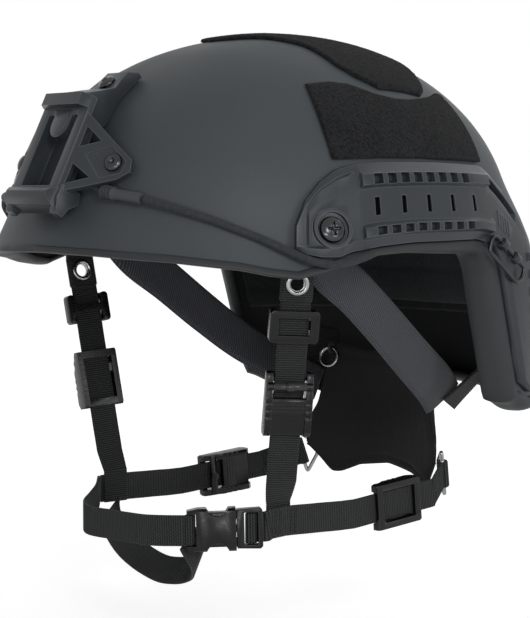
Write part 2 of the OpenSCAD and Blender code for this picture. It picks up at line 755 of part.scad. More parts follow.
// Wire bail at the rail's tail. It turns in two lugs on the rail.
bail_w = 33;
bail_lug = 6.2;
bail_l = 10;
bail_dir = 122.2;
bail_z = -0.5;
bail_lean = -36;
bail_lift = bail_wire / 2 + 1.2;
bail_pin = bail_wire + 0.3;
module on_bail() {
  on_skin(bail_dir, bail_z, rail_t + bail_lift) rotate([0, 0, bail_lean]) children();
}
// Closed ring of wire through the given corners
module wire_ring(corners, d, sides = 8) {
  n = len(corners);
  loft([
    for (i = [0:n - 1])
      let (
        a = unit(corners[i] - corners[(i + n - 1) % n]),
        b = unit(corners[(i + 1) % n] - corners[i]),
        out = [unit(a - b).x, unit(a - b).y, 0],
        stretch = 1 / sqrt((1 + a * b) / 2)
      )
      [
        for (k = [0:sides - 1])
          corners[i] + (out * stretch * cos(-k * 360 / sides) + [0, 0, 1] * sin(-k * 360 / sides)) * d / 2
      ]
  ], closed = true);
}
module left_bail() {
  color(metal_c) on_bail() {
    wire_ring([
      [-bail_w / 2 + 3, 0, 0], [-bail_w / 2, -3, 0], [-bail_w / 2 + 1.5, -bail_l, 0],
      [bail_w / 2 - 3, -bail_l, 0], [bail_w / 2, -bail_l + 4, 0], [bail_w / 2 - 1, 0, 0]
    ], bail_wire);
    // Round journals in the lugs
    for (s = [-1, 1])
      translate([s * bail_lug, 0, 0]) rotate([0, 90, 0]) cylinder(d = bail_pin, h = 4.6, center = true);
  }
}
module right_bail() {
  other_side() left_bail();
}

// Elastic cords. The boot's ends as direction, height and lift.
boot_start = skin(16.5, 29.8, 4);
boot_end = skin(27, 26.4, 4.1);
cord_route = [
  [27.4, 26.2, 4.1], [35, 21.8, 3.2], [41.5, 17.3, 2.4], [47.5, 12.3, 2.4], [53, 7.4, 2.6], [57, 3.4, 3.6],
  [62, -1.6, 4.6], [66, -3.9, 4.9], [70, -3.4, 4.9], [74, -1.4, 4.9], [77.5, 1, 4.9]
];
module left_elastic() {
  stops = [for (p = cord_route) skin(p[0], p[1], p[2])];
  color(rubber_c) {
    cord(curve(stops, 3), cord_d);
    along(boot_start, strut_point(9, 7, -6), [0, 0, 1]) translate([0, 0, 0.3])
      cylinder(d = 1.6, h = norm(strut_point(9, 7, -6) - boot_start));
  }
}
module right_elastic() {
  other_side() left_elastic();
}
module left_elastic_boot() {
  long = norm(boot_end - boot_start);
  grip = 7;
  color(rubber_c) along(boot_start, boot_end, [0, 0, 1]) {
    for (k = [0:3]) translate([0, 0, k * grip / 4]) cylinder(d1 = boot_d - 1.4, d2 = boot_d, h = grip / 4 - 0.4);
    cylinder(d = boot_d - 1.4, h = grip);
    translate([0, 0, grip]) cylinder(d1 = boot_d, d2 = boot_d - 1.6, h = 2.4);
    translate([0, 0, grip + 2.4]) cylinder(d = boot_d - 1.6, h = long - grip - 2.7);
  }
}
module right_elastic_boot() {
  other_side() left_elastic_boot();
}

// Harness. The front strap hangs from the headband and runs straight to the jaw.
strap_dir = 63;
headband_in = liner_lift - band_t;
eyelet_drop = 14;
strap_top = skin(strap_dir, 14, headband_in - 2.6);
strap_top_in = skin(strap_dir, 2, headband_in - 2.6);
eyelet_at = [wall_r(strap_dir, 0, headband_in) * sin(strap_dir) - 7, -wall_r(strap_dir, 0, headband_in) * cos(strap_dir) + 2, -eyelet_drop];
jaw = [jaw_x, -jaw_y, -jaw_z];
strap_len = norm(jaw - eyelet_at);
function strap_width(turn) = [cos(turn), sin(turn), 0];
module on_strap(turn, at = 0) {
  along(eyelet_at, jaw, strap_width(turn)) translate([0, 0, at]) children();
}
tab_t = 2.6;
tab_w = web_w + 1;
eyelet_d = 11.4;
eyelet_bore = 7;
module strap_tab(turn) {
  color(web_c) {
    on_strap(turn) difference() {
      hull() {
        translate([-tab_w / 2, -tab_t / 2, -7]) cube([tab_w, tab_t, 12]);
        translate([-tab_w / 2 + 2, -tab_t / 2, 9]) cube([tab_w - 4, tab_t, 1]);
      }
      rotate([90, 0, 0]) cylinder(d = eyelet_bore + 1, h = 10, center = true);
    }
    way = unit(jaw - eyelet_at);
    webbing(
      [strap_top, strap_top_in, eyelet_at - way * 7],
      [strap_width(strap_dir), strap_width(strap_dir), strap_width(turn)], tab_w, tab_t - 0.4
    );
  }
}
module left_strap_tab() {
  strap_tab(turn_left);
}
module right_strap_tab() {
  other_side() strap_tab(turn_right);
}
module eyelet() {
  rotate([90, 0, 0]) rotate_extrude()
    difference() {
      union() {
        translate([eyelet_bore / 2, -tab_t / 2 - 1.1]) square([(eyelet_d - eyelet_bore) / 2, 0.8]);
        translate([eyelet_bore / 2, tab_t / 2 + 0.3]) square([(eyelet_d - eyelet_bore) / 2, 0.8]);
        translate([eyelet_bore / 2 - 0.4, -tab_t / 2 - 1.1]) square([0.7, tab_t + 2.2]);
      }
      translate([eyelet_d / 2 + 0.6, 0]) square([2, tab_t], center = true);
    }
}
module strap_eyelets() {
  color(metal_c) {
    on_strap(turn_left) eyelet();
    other_side() on_strap(turn_right) eyelet();
  }
}
module front_strap(turn) {
  start = 10.02;
  straight = strap_len - web_w - 6;
  way = unit(jaw - eyelet_at);
  color(web_c) {
    on_strap(turn) translate([-web_w / 2, -web_t / 2, start]) cube([web_w, web_t, straight - start]);
    // The end turns to lie flat on the rear strap's inner side
    webbing(
      [eyelet_at + way * (straight - 0.2), jaw + [0, 0, web_w / 2 + 2], jaw - [0, 0, web_w / 2]],
      [strap_width(turn), [0, 1, 0], [0, 1, 0]]
    );
  }
}
module left_front_strap() {
  front_strap(turn_left);
}
module right_front_strap() {
  other_side() front_strap(turn_right);
}

// Slide loop: rounded side rails joined by bars on both faces of the webbing
slide_l = 16;
slide_w = web_w + 9;
module slide_loop(turn) {
  clear = web_t / 2 + run_gap;
  bar = 1.8;
  color(plastic_c) on_strap(turn, slide_at) {
    for (s = [-1, 1])
      translate([s * (slide_w / 2 - 2.1), 0, 0]) rotate([90, 0, 0]) linear_extrude(2 * (clear + bar), center = true)
        hull() for (k = [-1, 1]) translate([0, k * (slide_l / 2 - 2.1)]) circle(2.1, $fn = 20);
    for (s = [-1, 1])
      translate([0, clear + bar / 2, s * (slide_l / 2 - 1.9)]) cube([slide_w - 3, bar, 3.4], center = true);
    translate([0, -clear - bar / 2, 0]) cube([slide_w - 1.6, bar, 4.4], center = true);
  }
}
module left_slide_loop() {
  slide_loop(turn_left);
}
module right_slide_loop() {
  other_side() slide_loop(turn_right);
}

// Ladder lock in its own frame: Z along the webbing, X across and Y out of its face
lock_w = web_w + 8;
module ladder_lock() {
  clear = web_t / 2 + run_gap;
  half = lock_l / 2;
  cheek = 3.2;
  difference() {
    union() {
      // Cheeks with a scalloped front edge
      for (s = [-1, 1])
        translate([s * (lock_w - cheek) / 2, 0, 0]) rotate([0, 90, 0]) linear_extrude(cheek, center = true)
          difference() {
            polygon([
              [half - 1, -3.2], [half, -2], [half, 1.2], [half - 2, 2.4], [7, 3.6], [4.6, 5], [-3.4, 5.4],
              [-half + 2.5, 5.4], [-half, 3.4], [-half, -2], [-half + 1.4, -3.4]
            ]);
            for (k = [0:2]) translate([-5.6 + k * 3.6, 6.2]) circle(1.5, $fn = 12);
          }
      // Bars behind the webbing
      translate([0, -clear - 1.1, -half + 2]) cube([lock_w - 1, 2.2, 4], center = true);
      translate([0, -clear - 1.1, half - 2.5]) cube([lock_w - 1, 2.2, 4], center = true);
      // Roller with a raised middle, and the sloping cam plate under it
      translate([0, clear + 2, -half + 6]) rotate([0, 90, 0]) cylinder(r = 2, h = lock_w - 1, center = true, $fn = 20);
      translate([0, clear + 2.5, -half + 6]) rotate([0, 90, 0]) cylinder(r = 2.4, h = 4, center = true, $fn = 20);
      translate([0, clear, 0]) rotate([90, 0, 90]) linear_extrude(lock_w - 1, center = true)
        polygon([[0, -3.4], [3, -3.4], [3.6, -2.4], [2.6, 5.6], [1.4, half - 2.4], [1.2, half - 0.4], [0, half - 0.4]]);
    }
    // Grip grooves in the plate
    for (k = [0:3])
      translate([0, clear + 3.5 - k * 0.1, -1 + k * 1.9]) cube([lock_w - 2 * cheek - 1, 1.1, 0.8], center = true);
  }
}
module front_lock(turn) {
  color(plastic_c) on_strap(turn, lock_at) ladder_lock();
}
module left_front_lock() {
  front_lock(turn_left);
}
module right_front_lock() {
  other_side() front_lock(turn_right);
}

// Rear strap from the jaw to the nape ring. Its middle is straight, where the lock slides.
nape_at = [nape_x, nape_y, -nape_z];
rear_a = [jaw_x + 3, 5, -jaw_z - 1];
rear_b = [jaw_x + 1, nape_y - 19, -jaw_z + 4];
rear_off = web_t + run_gap;
buckle_dir = unit([-23, -32, -1]);
buckle_out = unit(cross(buckle_dir, [0, 0, -1]));
// Webbing folds round the buckle's bars and leaves on the inner side
fold_gap = 0.25;
male_bar = 5.6;
male_bar_r = 1.1;
fold_mid = male_bar_r + fold_gap + web_t / 2;
buckle_tail = jaw + [rear_off - 0.9, -web_w / 2 - 2.9, -1.5] + buckle_out * fold_mid;
function buckle_point(w, z) = buckle_tail + buckle_dir * (0.3 + z) + buckle_out * w;
ring_pin = ring_wire + 0.3;
fold_r = ring_pin / 2 + 0.15;
// The ring's bar stands square to the end of the rear strap
nape_way = unit(nape_at - rear_b);
nape_up = unit([0, 0, 1] - nape_way * nape_way.z);
ring_way = unit(cross(cross(nape_up, [-1, 0.62, 0]), nape_up));
module rear_strap_side(first) {
  end = nape_at - unit(nape_at - rear_b) * (fold_r + web_t / 2);
  color(web_c) {
    webbing(
      concat(first, [jaw + [rear_off, 3, 0], rear_a + [0, -8, 0], rear_a, rear_b, mix(rear_b, end, 0.5), end]),
      [0, 0, 1]
    );
    // Fold round the ring's bar
    along(nape_at, nape_at + nape_up, [1, 0, 0]) difference() {
      cylinder(r = fold_r + web_t, h = web_w - 1, center = true);
      cylinder(r = fold_r, h = web_w, center = true);
    }
  }
}
module left_rear_strap() {
  rear_strap_side([
    buckle_point(-fold_mid - 0.06, male_bar + 0.5), buckle_point(-fold_mid - 0.06, -2), jaw + [rear_off, -web_w / 2 + 1, -0.6]
  ]);
  color(web_c) on_buckle() bar_fold(male_bar, male_bar_r);
}
module right_rear_strap() {
  other_side() rear_strap_side([jaw + [rear_off - 0.3, -web_w / 2 - 1, 0]]);
}
module rear_lock_side() {
  color(plastic_c) along(rear_a, rear_b, [0, 0, 1]) translate([0, 0, norm(rear_b - rear_a) * 0.52])
    mirror([0, 1, 0]) ladder_lock();
}
module left_rear_lock() {
  rear_lock_side();
}
module right_rear_lock() {
  other_side() rear_lock_side();
}

// Nape ring, a three sided wire ring between the rear strap and the nape pad
ring_long = web_w + 10;
ring_reach = 10;
module on_nape_ring() {
  along(nape_at, nape_at + ring_way, nape_up) rotate([-90, 0, 0]) children();
}
module nape_ring() {
  h = ring_long / 2;
  color(metal_c) on_nape_ring() {
    wire_ring([
      [-h, 0, 0], [-h + 1.5, -2, 0], [-3, -ring_reach, 0], [3, -ring_reach, 0], [h - 1.5, -2, 0], [h, 0, 0]
    ], ring_wire);
    translate([-web_w / 2 - 0.5, 0, 0]) rotate([0, 90, 0]) cylinder(d = ring_pin, h = web_w + 1);
  }
}
module left_nape_ring() {
  nape_ring();
}
module right_nape_ring() {
  other_side() nape_ring();
}

// Padded bands from the headband behind the ears to the nape
pad_top_dir = 77;
band_route = [
  skin(pad_top_dir, 14, headband_in - padded_t / 2 - 1), skin(pad_top_dir, 8, headband_in - padded_t / 2 - 3.4),
  [82, -22, -5], [79.5, 0, -21], [76.5, 22, -38], [71, 46, -56], [62, 70, -71], [51, 88, -82]
];
band_width = [
  [0, 1, 0], [0, 1, 0.1], [0, 0.8, 0.6], [0.06, 0.6, 0.8], [0.1, 0.58, 0.8], [0.2, 0.56, 0.8], [0.4, 0.5, 0.8], [0.5, 0.4, 0.8]
];
module padded_band() {
  route = curve(band_route, 2);
  width = curve(band_width, 2);
  color(pad_c) loft([
    for (i = [0:len(route) - 1])
      let (
        n = len(route),
        d = unit(route[min(i + 1, n - 1)] - route[max(i - 1, 0)]),
        face = unit(cross(d, width[i])),
        side = cross(face, d)
      )
      [
        for (q = [[0.5, -0.2], [0.5, 0.2], [0.3, 0.5], [-0.3, 0.5], [-0.5, 0.2], [-0.5, -0.2], [-0.3, -0.5], [0.3, -0.5]])
          route[i] + side * q.x * padded_w + face * q.y * padded_t
      ]
  ]);
}
module left_padded_band() {
  padded_band();
}
module right_padded_band() {
  other_side() padded_band();
}

// Nape pad, a curved cushion with drawn-in lower corners
nape_pad_t = 8;
nape_high = [[-53, -103], [-46, -90], [-40, -60], [-35, -57], [-22, -60], [0, -62], [22, -60], [35, -57], [40, -60], [46, -90], [53, -103]];
module nape_pad() {
  edge = nape_x - 6;
  high = nape_high;
  low = [[-53, -116], [-46, -123], [-39, -131], [-34, -131], [-22, -126], [0, -123], [22, -126], [34, -131], [39, -131], [46, -123], [53, -116]];
  xs = [-53, -50, -46, -43, -40, -35, -28, -19, -9, 0, 9, 19, 28, 35, 40, 43, 46, 50, 53];
  grid = function (side) [
    for (j = [0:6]) [
      for (x = xs)
        let (
          f = j / 6,
          z = mix(lookup(x, low), lookup(x, high), f),
          u = x / 53,
          puff = 1 + (nape_pad_t - 2) / 2 * (1 - pow(2 * f - 1, 4)) * (1 - pow(u, 6))
        )
        [x * edge / 53, nape_y + 15 - 15 * u * u - side * puff, z]
    ]
  ];
  color(web_c) {
    slab(grid(-1), grid(1));
    // Loop for the pull ring
    translate(pull_at) rotate([0, 90, pull_turn]) rotate_extrude() translate([2.5, 0]) circle(0.8);
  }
}
pull_r = 5.4;
pull_wire = 1.6;
pull_x = -38;
pull_turn = atan(-30 * pull_x / pow(53, 2));
pull_at = [pull_x, nape_y + 12.4 - 15 * pow(pull_x / 53, 2), lookup(pull_x, nape_high) - 1];

// Ties from the padded bands up to the shell's rear
module rear_tie() {
  top = skin(146, -52, -shell_t - 3.2);
  low = band_route[len(band_route) - 1] + [0.8, 0.14, -0.57] * (padded_t / 2 + 1.7);
  color(web_c) webbing(
    [low, mix(low, top, 0.5), top],
    [[0.55, 0.1, 0.75], [0.65, -0.2, 0.65], [0.7, -0.45, 0.55]], padded_w - 6, 1.8
  );
}
module left_rear_tie() {
  rear_tie();
}
module right_rear_tie() {
  other_side() rear_tie();
}

// Side release buckle in its own frame: Z from the jaw to the chin, X down and Y outward
female_l = 24;
male_l = buckle_l - female_l;
wall = 1.6;
module on_buckle() {
  along(buckle_tail + buckle_dir * 0.3, buckle_tail + buckle_dir * (buckle_l + 1), [0, 0, -1]) children();
}
// Webbing folded round a bar that runs across the buckle
bar_span = (web_w + buckle_h - 1.2) / 2;
module bar_fold(at, bar_r) {
  translate([0, 0, at]) rotate([0, 90, 0]) difference() {
    cylinder(r = bar_r + fold_gap + web_t, h = web_w - 0.6, center = true, $fn = 24);
    cylinder(r = bar_r + fold_gap, h = web_w + 2, center = true, $fn = 24);
  }
}
module buckle_male() {
  clear = run_gap;
  reach = female_l - 7;
  inner_h = buckle_h - 2 * wall - 2 * clear;
  inner_t = buckle_t - 2 * wall - 2 * clear;
  color(plastic_c) on_buckle() {
    difference() {
      rotate([90, 0, 0]) linear_extrude(buckle_t - 2.8, center = true) polygon([
        [-buckle_h / 2 + 0.6, 1.2], [-buckle_h / 2 + 1.8, 0], [buckle_h / 2 - 1.8, 0], [buckle_h / 2 - 0.6, 1.2],
        [buckle_h / 2 - 1, male_l - 0.4], [-buckle_h / 2 + 1, male_l - 0.4]
      ]);
      // Window for the webbing
      translate([-web_w / 2 - 0.4, -buckle_t, male_bar - 3.4]) cube([web_w + 0.8, 2 * buckle_t, 6.8]);
      // The webbing leaves over the end bar
      translate([-web_w / 2 - 0.4, -0.9 - buckle_t, -1]) cube([web_w + 0.8, buckle_t, 6]);
    }
    translate([0, 0, male_bar]) rotate([0, 90, 0]) cylinder(r = male_bar_r, h = bar_span, center = true, $fn = 20);
    // Side prongs and centre guide
    for (s = [-1, 1])
      translate([s * (inner_h / 2 - 1.8), 0, male_l - 0.5 + reach / 2]) cube([3.6, inner_t, reach], center = true);
    translate([0, 0, male_l - 0.5 + reach / 2 - 1]) cube([3, inner_t, reach - 2], center = true);
  }
}
female_bar_r = 1;
female_bar = female_l - 1.4;
module buckle_female() {
  color(plastic_c) on_buckle() translate([0, 0, male_l]) {
    difference() {
      hull() {
        translate([-buckle_h / 2, -buckle_t / 2 + 1.2, 0]) cube([buckle_h, buckle_t - 2.4, 0.1]);
        translate([-buckle_h / 2 + 1.2, -buckle_t / 2, 0]) cube([buckle_h - 2.4, buckle_t, 1]);
        translate([-buckle_h / 2, -buckle_t / 2 + 1.2, female_l - 6.5]) cube([buckle_h, buckle_t - 2.4, 1]);
        translate([-buckle_h / 2 + 1.2, -buckle_t / 2, female_l - 8.5]) cube([buckle_h - 2.4, buckle_t, 1]);
        translate([-buckle_h / 2 + 1, -2.6, female_l - 0.5]) cube([buckle_h - 2, 5.2, 0.4]);
      }
      // Mouth
      translate([-buckle_h / 2 + wall, -buckle_t / 2 + wall, -1])
        cube([buckle_h - 2 * wall, buckle_t - 2 * wall, female_l - 5.5]);
      // Press arcs
      for (s = [-1, 1])
        translate([s * (buckle_h / 2 + 1.6), 0, 9]) rotate([90, 0, 0])
          cylinder(r = 5.6, h = 2 * buckle_t, center = true, $fn = 28);
      // Window for the webbing, open at the end
      translate([-web_w / 2 - 0.4, -buckle_t, female_bar - 3.2]) cube([web_w + 0.8, 2 * buckle_t, 10]);
    }
    translate([0, 0, female_bar]) rotate([0, 90, 0]) cylinder(r = female_bar_r, h = bar_span, center = true, $fn = 20);
  }
}
// The chin band leaves its fold at the buckle's nose
buckle_nose = buckle_tail + buckle_dir * (0.3 + male_l + female_bar + female_bar_r + fold_gap + web_t / 2);

// Chin band round the front of the chin
module chin_band() {
  far = [-jaw_x - rear_off + 0.3, -jaw_y - web_w / 2 - 2.3, -jaw_z];
  color(web_c) {
    on_buckle() translate([0, 0, male_l]) bar_fold(female_bar, female_bar_r);
    webbing(curve([
    buckle_nose, buckle_nose + [-16, -12, -0.6], [8, -97.5, -136], [-12, -98.5, -136.4], [-30, -89, -136.4],
    [-47, -73.5, -135.6], [-60, -61, -134.2], far
    ], 3), [0, 0, 1]);
  }
}
// Strap under the chin
module under_chin_strap() {
  start = buckle_nose - buckle_dir * 1.5 + [-0.81, 0.58, 0] * 4.3 + [0, 0, -5];
  color(web_c) webbing(curve([
    start, start + [-6, 10, -11], [18, -54, -161], [0, -52, -166], [-18, -52, -166.4],
    [-38, -55, -159], [-56, -53, -149], [-jaw_x + 4, -jaw_y - 4, -jaw_z - 9]
  ], 3), [0, 0.45, 0.9]);
}

// Small pull ring that hangs in the loop on the nape pad
module pull_ring() {
  color(metal_c) translate(pull_at + [0.4, -1.9, -pull_r * 0.96]) rotate([74, 0, pull_turn])
    rotate_extrude() translate([pull_r, 0]) circle(pull_wire / 2);
}

shell();
edge_trim();
crown_loop_panel();
left_loop_panel();
right_loop_panel();
headband();
crown_cushion();
brow_cushion();
rear_cushion();
left_cushion();
right_cushion();
liner_rivets();
mount_frame();
mount_screws();
left_rail();
right_rail();
rail_screws();
left_bail();
right_bail();
left_elastic();
right_elastic();
left_elastic_boot();
right_elastic_boot();
left_strap_tab();
right_strap_tab();
strap_eyelets();
left_front_strap();
right_front_strap();
left_slide_loop();
right_slide_loop();
left_front_lock();
right_front_lock();
left_rear_strap();
right_rear_strap();
left_rear_lock();
right_rear_lock();
left_nape_ring();
right_nape_ring();
left_padded_band();
right_padded_band();
nape_pad();
left_rear_tie();
right_rear_tie();
buckle_male();
buckle_female();
chin_band();
under_chin_strap();
pull_ring();
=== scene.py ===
"""Combat helmet: the visible surfaces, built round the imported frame.

Sizes are millimetres in the shape functions and metres in the finished meshes.
The front faces -Y, up is +Z and the wearer's left is +X.
"""

import math

import bmesh
import bpy
from mathutils import Matrix, Vector, noise
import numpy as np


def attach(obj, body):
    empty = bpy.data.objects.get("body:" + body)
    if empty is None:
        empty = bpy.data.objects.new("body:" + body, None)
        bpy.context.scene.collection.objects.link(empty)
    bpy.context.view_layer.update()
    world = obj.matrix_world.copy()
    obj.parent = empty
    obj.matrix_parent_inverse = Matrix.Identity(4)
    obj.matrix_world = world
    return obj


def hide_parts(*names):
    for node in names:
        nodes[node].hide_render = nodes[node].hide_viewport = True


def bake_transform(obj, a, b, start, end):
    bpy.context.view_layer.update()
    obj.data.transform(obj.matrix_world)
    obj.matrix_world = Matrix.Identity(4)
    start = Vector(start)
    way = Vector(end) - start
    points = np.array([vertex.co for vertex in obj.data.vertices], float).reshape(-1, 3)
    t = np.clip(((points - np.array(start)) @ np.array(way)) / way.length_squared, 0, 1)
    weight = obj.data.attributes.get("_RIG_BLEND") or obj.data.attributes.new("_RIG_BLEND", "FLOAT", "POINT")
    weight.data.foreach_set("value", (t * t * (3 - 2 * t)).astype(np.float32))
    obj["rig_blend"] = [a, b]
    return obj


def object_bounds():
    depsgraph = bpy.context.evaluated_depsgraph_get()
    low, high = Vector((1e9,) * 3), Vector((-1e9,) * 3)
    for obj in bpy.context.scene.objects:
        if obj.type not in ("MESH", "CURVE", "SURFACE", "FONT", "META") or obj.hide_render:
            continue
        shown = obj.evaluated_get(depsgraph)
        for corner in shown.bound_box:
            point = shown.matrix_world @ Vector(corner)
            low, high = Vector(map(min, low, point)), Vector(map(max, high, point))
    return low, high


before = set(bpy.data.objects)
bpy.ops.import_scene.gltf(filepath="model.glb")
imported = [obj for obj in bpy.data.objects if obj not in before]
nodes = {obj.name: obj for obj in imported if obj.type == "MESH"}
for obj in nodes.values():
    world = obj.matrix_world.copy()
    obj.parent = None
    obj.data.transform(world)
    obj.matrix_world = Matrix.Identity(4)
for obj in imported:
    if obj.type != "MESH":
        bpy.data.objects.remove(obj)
cad_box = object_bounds()

MM = 0.001
SIDES = ("left", "right")
UP = Vector((0, 0, 1))

# Camera at the photograph's viewing angle
VIEW_AZIMUTH = 51.0
VIEW_ELEVATION = 3.6
VIEW_DISTANCE = 1.0623
VIEW_RIGHT = 0.00496
VIEW_UP = -0.03264
LENS = 117.0
SENSOR = 36.0

# Shell
BROW_LEN = 128
BACK_LEN = 136
HALF_W = 117
CROWN_H = 110
SHELL_T = 8
PLAN_POWER = 2.4
LEAN = 6.5
BROW_FLARE = 7
BROW_FLARE_H = 26
NAPE_FLARE = 12
REAR_DROP = 80
DOME_RISE = 2.07
DOME_ROUND = 2.1
RIM = [
    (0, 1.8), (17, 0.9), (34, -1.3), (48, -4.8), (54, -7.6), (60, -9.3), (66, -5.8), (72, -1.2),
    (80, 1.2), (90, 2.6), (112, 3.2), (115, 2.6), (117.5, 0.4), (119.2, -3.6), (120.5, -10),
]
CUT_TOP = -10
CUT_START = 120.5
CUT_END = 127.5
REAR_FROM = 134
SEAT_GAP = 0.35

# Edge trim
TRIM_W = 12.4
TRIM_H = 4.4
TRIM_GAP = 0.35
TRIM_WEB = 2

# Loop panels
PANEL_T = 2

# Liner
LINER_GAP = 0.8
BAND_T = 6
BAND_TOP = 46
CUSHION_T = 12
CROWN_PAD_R = 46

# Harness
WEB_W = 15
WEB_T = 1.6
RUN_GAP = 0.35
JAW = Vector((70, -42, -132))
NAPE = Vector((59, 81, -121))
TURN = {"left": 60, "right": 100}
STRAP_DIR = 63
EYELET_DROP = 14
LOCK_AT = 60
LOCK_L = 31
ROLLER_HALF = (WEB_W + 8) / 2 - 3.2
PADDED_W = 24
PADDED_T = 6
NAPE_PAD_T = 8
RING_WIRE = 2.2
CORD_D = 3.6

# Rails and bails
RAIL_T = 5
RAIL_LOW = [(59.5, 3.5), (61.5, 1), (65, -0.6), (69, -0.8), (72.5, 1), (84, 3.6), (118, 3)]
RAIL_HIGH = [
    (59.5, 15), (61.5, 26), (65, 34.4), (69, 40), (72.5, 42.2), (77, 43.4), (88, 44), (100, 44),
    (118, 42.6),
]
RAIL_FOOT = 2.4
RAIL_ROWS = 41.6
WINDOW_START = 76
WINDOW_END = 115.6
BAIL_WIRE = 2
BAIL_PIN = 2.3
BAIL_LIFT = 2.2
BAIL_DIR = 122.2
BAIL_Z = -0.5
BAIL_LEAN = -36
BAIL_W = 33
BAIL_L = 10
BAIL_LUG = 6.2

# Device mount
PLATE_W = 39
PLATE_H = 43
PLATE_REACH = 16
PLATE_Z = 31.5
PLATE_TILT = 26


# Shape functions, the same surface as the frame's. Directions are degrees from the front.


def lookup(x, table):
    if x <= table[0][0]:
        return table[0][1]
    for (x0, y0), (x1, y1) in zip(table, table[1:]):
        if x <= x1:
            return y0 + (y1 - y0) * (x - x0) / (x1 - x0)
    return table[-1][1]


def mix(a, b, t):
    return a + (b - a) * t


def ease(t):
    c = min(1.0, max(0.0, t))
    return c * c * (3 - 2 * c)


def sin(a):
    return math.sin(math.radians(a))


def cos(a):
    return math.cos(math.radians(a))


def wrap(a):
    """The same direction between -180 and 180."""
    return (a + 180) % 360 - 180


def smooth_lookup(x, table, reach=1.5):
    """Like lookup, averaged over a short reach, so that the fine mesh has no corners."""
    return sum(lookup(x + d * reach, table) for d in (-1, -0.5, 0, 0.5, 1)) / 5


def both_ways(half):
    """A table over x, from its half that starts at 0, the same for -x."""
    return [(-x, y) for x, y in reversed(half[1:])] + half


def rim_z(a):
    b = abs(wrap(a))
    low = -REAR_DROP
    if b <= CUT_START:
        return smooth_lookup(b, RIM, 0.7) if b > 110 else lookup(b, RIM)
    if b <= CUT_END:
        return mix(CUT_TOP, low + 5, (b - CUT_START) / (CUT_END - CUT_START))
    if b <= REAR_FROM:
        return mix(low + 5, low, ease((b - CUT_END) / 6))
    return mix(low, low + 6, ease((b - REAR_FROM) / 46))


def plan_r(a, grow):
    length = (BROW_LEN if cos(a) > 0 else BACK_LEN) + grow
    across = (abs(sin(a)) / (HALF_W + grow)) ** PLAN_POWER
    return (across + (abs(cos(a)) / length) ** PLAN_POWER) ** (-1 / PLAN_POWER)


def dome(z, grow):
    if z <= 0:
        return 1.0
    return max(0.0, 1 - (z / (CROWN_H + grow)) ** DOME_RISE) ** (1 / DOME_ROUND)


def flare(a, z):
    b = abs(wrap(a))
    brim = BROW_FLARE * ease((96 - b) / 36) * min(1, max(0, 1 - (z - rim_z(a)) / BROW_FLARE_H)) ** 2
    return brim + NAPE_FLARE * ease((b - 116) / 24) * ease((38 - z) / 50)


def wall_r(a, z, grow=0.0):
    return plan_r(a, grow) * dome(z, grow) + flare(a, z)


def skin(a, z, grow=0.0):
    r = wall_r(a, z, grow)
    return Vector((r * sin(a), LEAN * max(0, z) / CROWN_H - r * cos(a), z))


def skin_out(a, z, grow=0.0):
    run = skin(a + 0.5, z, grow) - skin(a - 0.5, z, grow)
    rise = skin(a, z + 0.5, grow) - skin(a, z - 0.5, grow)
    return run.cross(rise).normalized()


def dome_z(x, y, grow):
    a = math.degrees(math.atan2(x, -y))
    r = min(1.0, math.hypot(x, y) / plan_r(a, grow))
    return (CROWN_H + grow) * max(0.0, 1 - r**DOME_ROUND) ** (1 / DOME_RISE)


def crown_at(x, y, grow):
    guess = dome_z(x, y, grow)
    return Vector((x, y, dome_z(x, y - LEAN * guess / CROWN_H, grow)))


def skin_frame(a, z, grow=0.0):
    """Matrix of a place on the surface: X round the shell, Y up and Z outward."""
    n = skin_out(a, z, grow)
    t = UP.cross(n).normalized()
    return axes(skin(a, z, grow), t, n.cross(t), n)


def axes(place, x, y, z):
    """Matrix of a place and three directions."""
    m = Matrix((x, y, z)).transposed().to_4x4()
    m.translation = place
    return m


def along(start, end, width):
    """Matrix of a line: Z from start to end and X near the given width."""
    z = (end - start).normalized()
    y = z.cross(width).normalized()
    return axes(start, y.cross(z), y, z)


def curve(points, steps):
    """Smooth route through a few chosen points."""
    out = []
    n = len(points)
    for i in range(n - 1):
        a, b = points[max(i - 1, 0)], points[i]
        c, d = points[i + 1], points[min(i + 2, n - 1)]
        for k in range(steps):
            t = k / steps
            bend = (2 * a - 5 * b + 4 * c - d) * t * t
            out.append((2 * b + (c - a) * t + bend + (3 * b - a - 3 * c + d) * t**3) / 2)
    out.append(points[-1].copy())
    return out


def runs(route):
    """The length of a route up to each of its points."""
    out = [0.0]
    for p, q in zip(route, route[1:]):
        out.append(out[-1] + (q - p).length)
    return out


def even(route, step):
    """The same route with a point at every step of length, each with its place in the old one."""
    lengths = runs(route)
    count = max(2, round(lengths[-1] / step))
    out, k = [], 0
    for i in range(count + 1):
        s = lengths[-1] * i / count
        while k < len(route) - 2 and lengths[k + 1] < s:
            k += 1
        span = max(1e-9, lengths[k + 1] - lengths[k])
        f = min(1.0, (s - lengths[k]) / span)
        out.append((k + f, route[k].lerp(route[k + 1], f)))
    return out


def vectors(*places):
    return [Vector(p) for p in places]


def sided(points, side):
    """Points made for the left side, mirrored where they are for the right."""
    return [Vector((-p.x, p.y, p.z)) for p in points] if side == "right" else points


def faced(points, i, reach, width):
    """Directions out of the face and across it, at a place of a route."""
    way = (points[min(i + reach, len(points) - 1)] - points[max(i - reach, 0)]).normalized()
    face = way.cross(width).normalized()
    return face, face.cross(way)


def groove(x, width):
    """1 in the middle of a seam, and close to 0 beyond twice its width."""
    return math.exp(-((x / width) ** 2))


# Mesh helpers


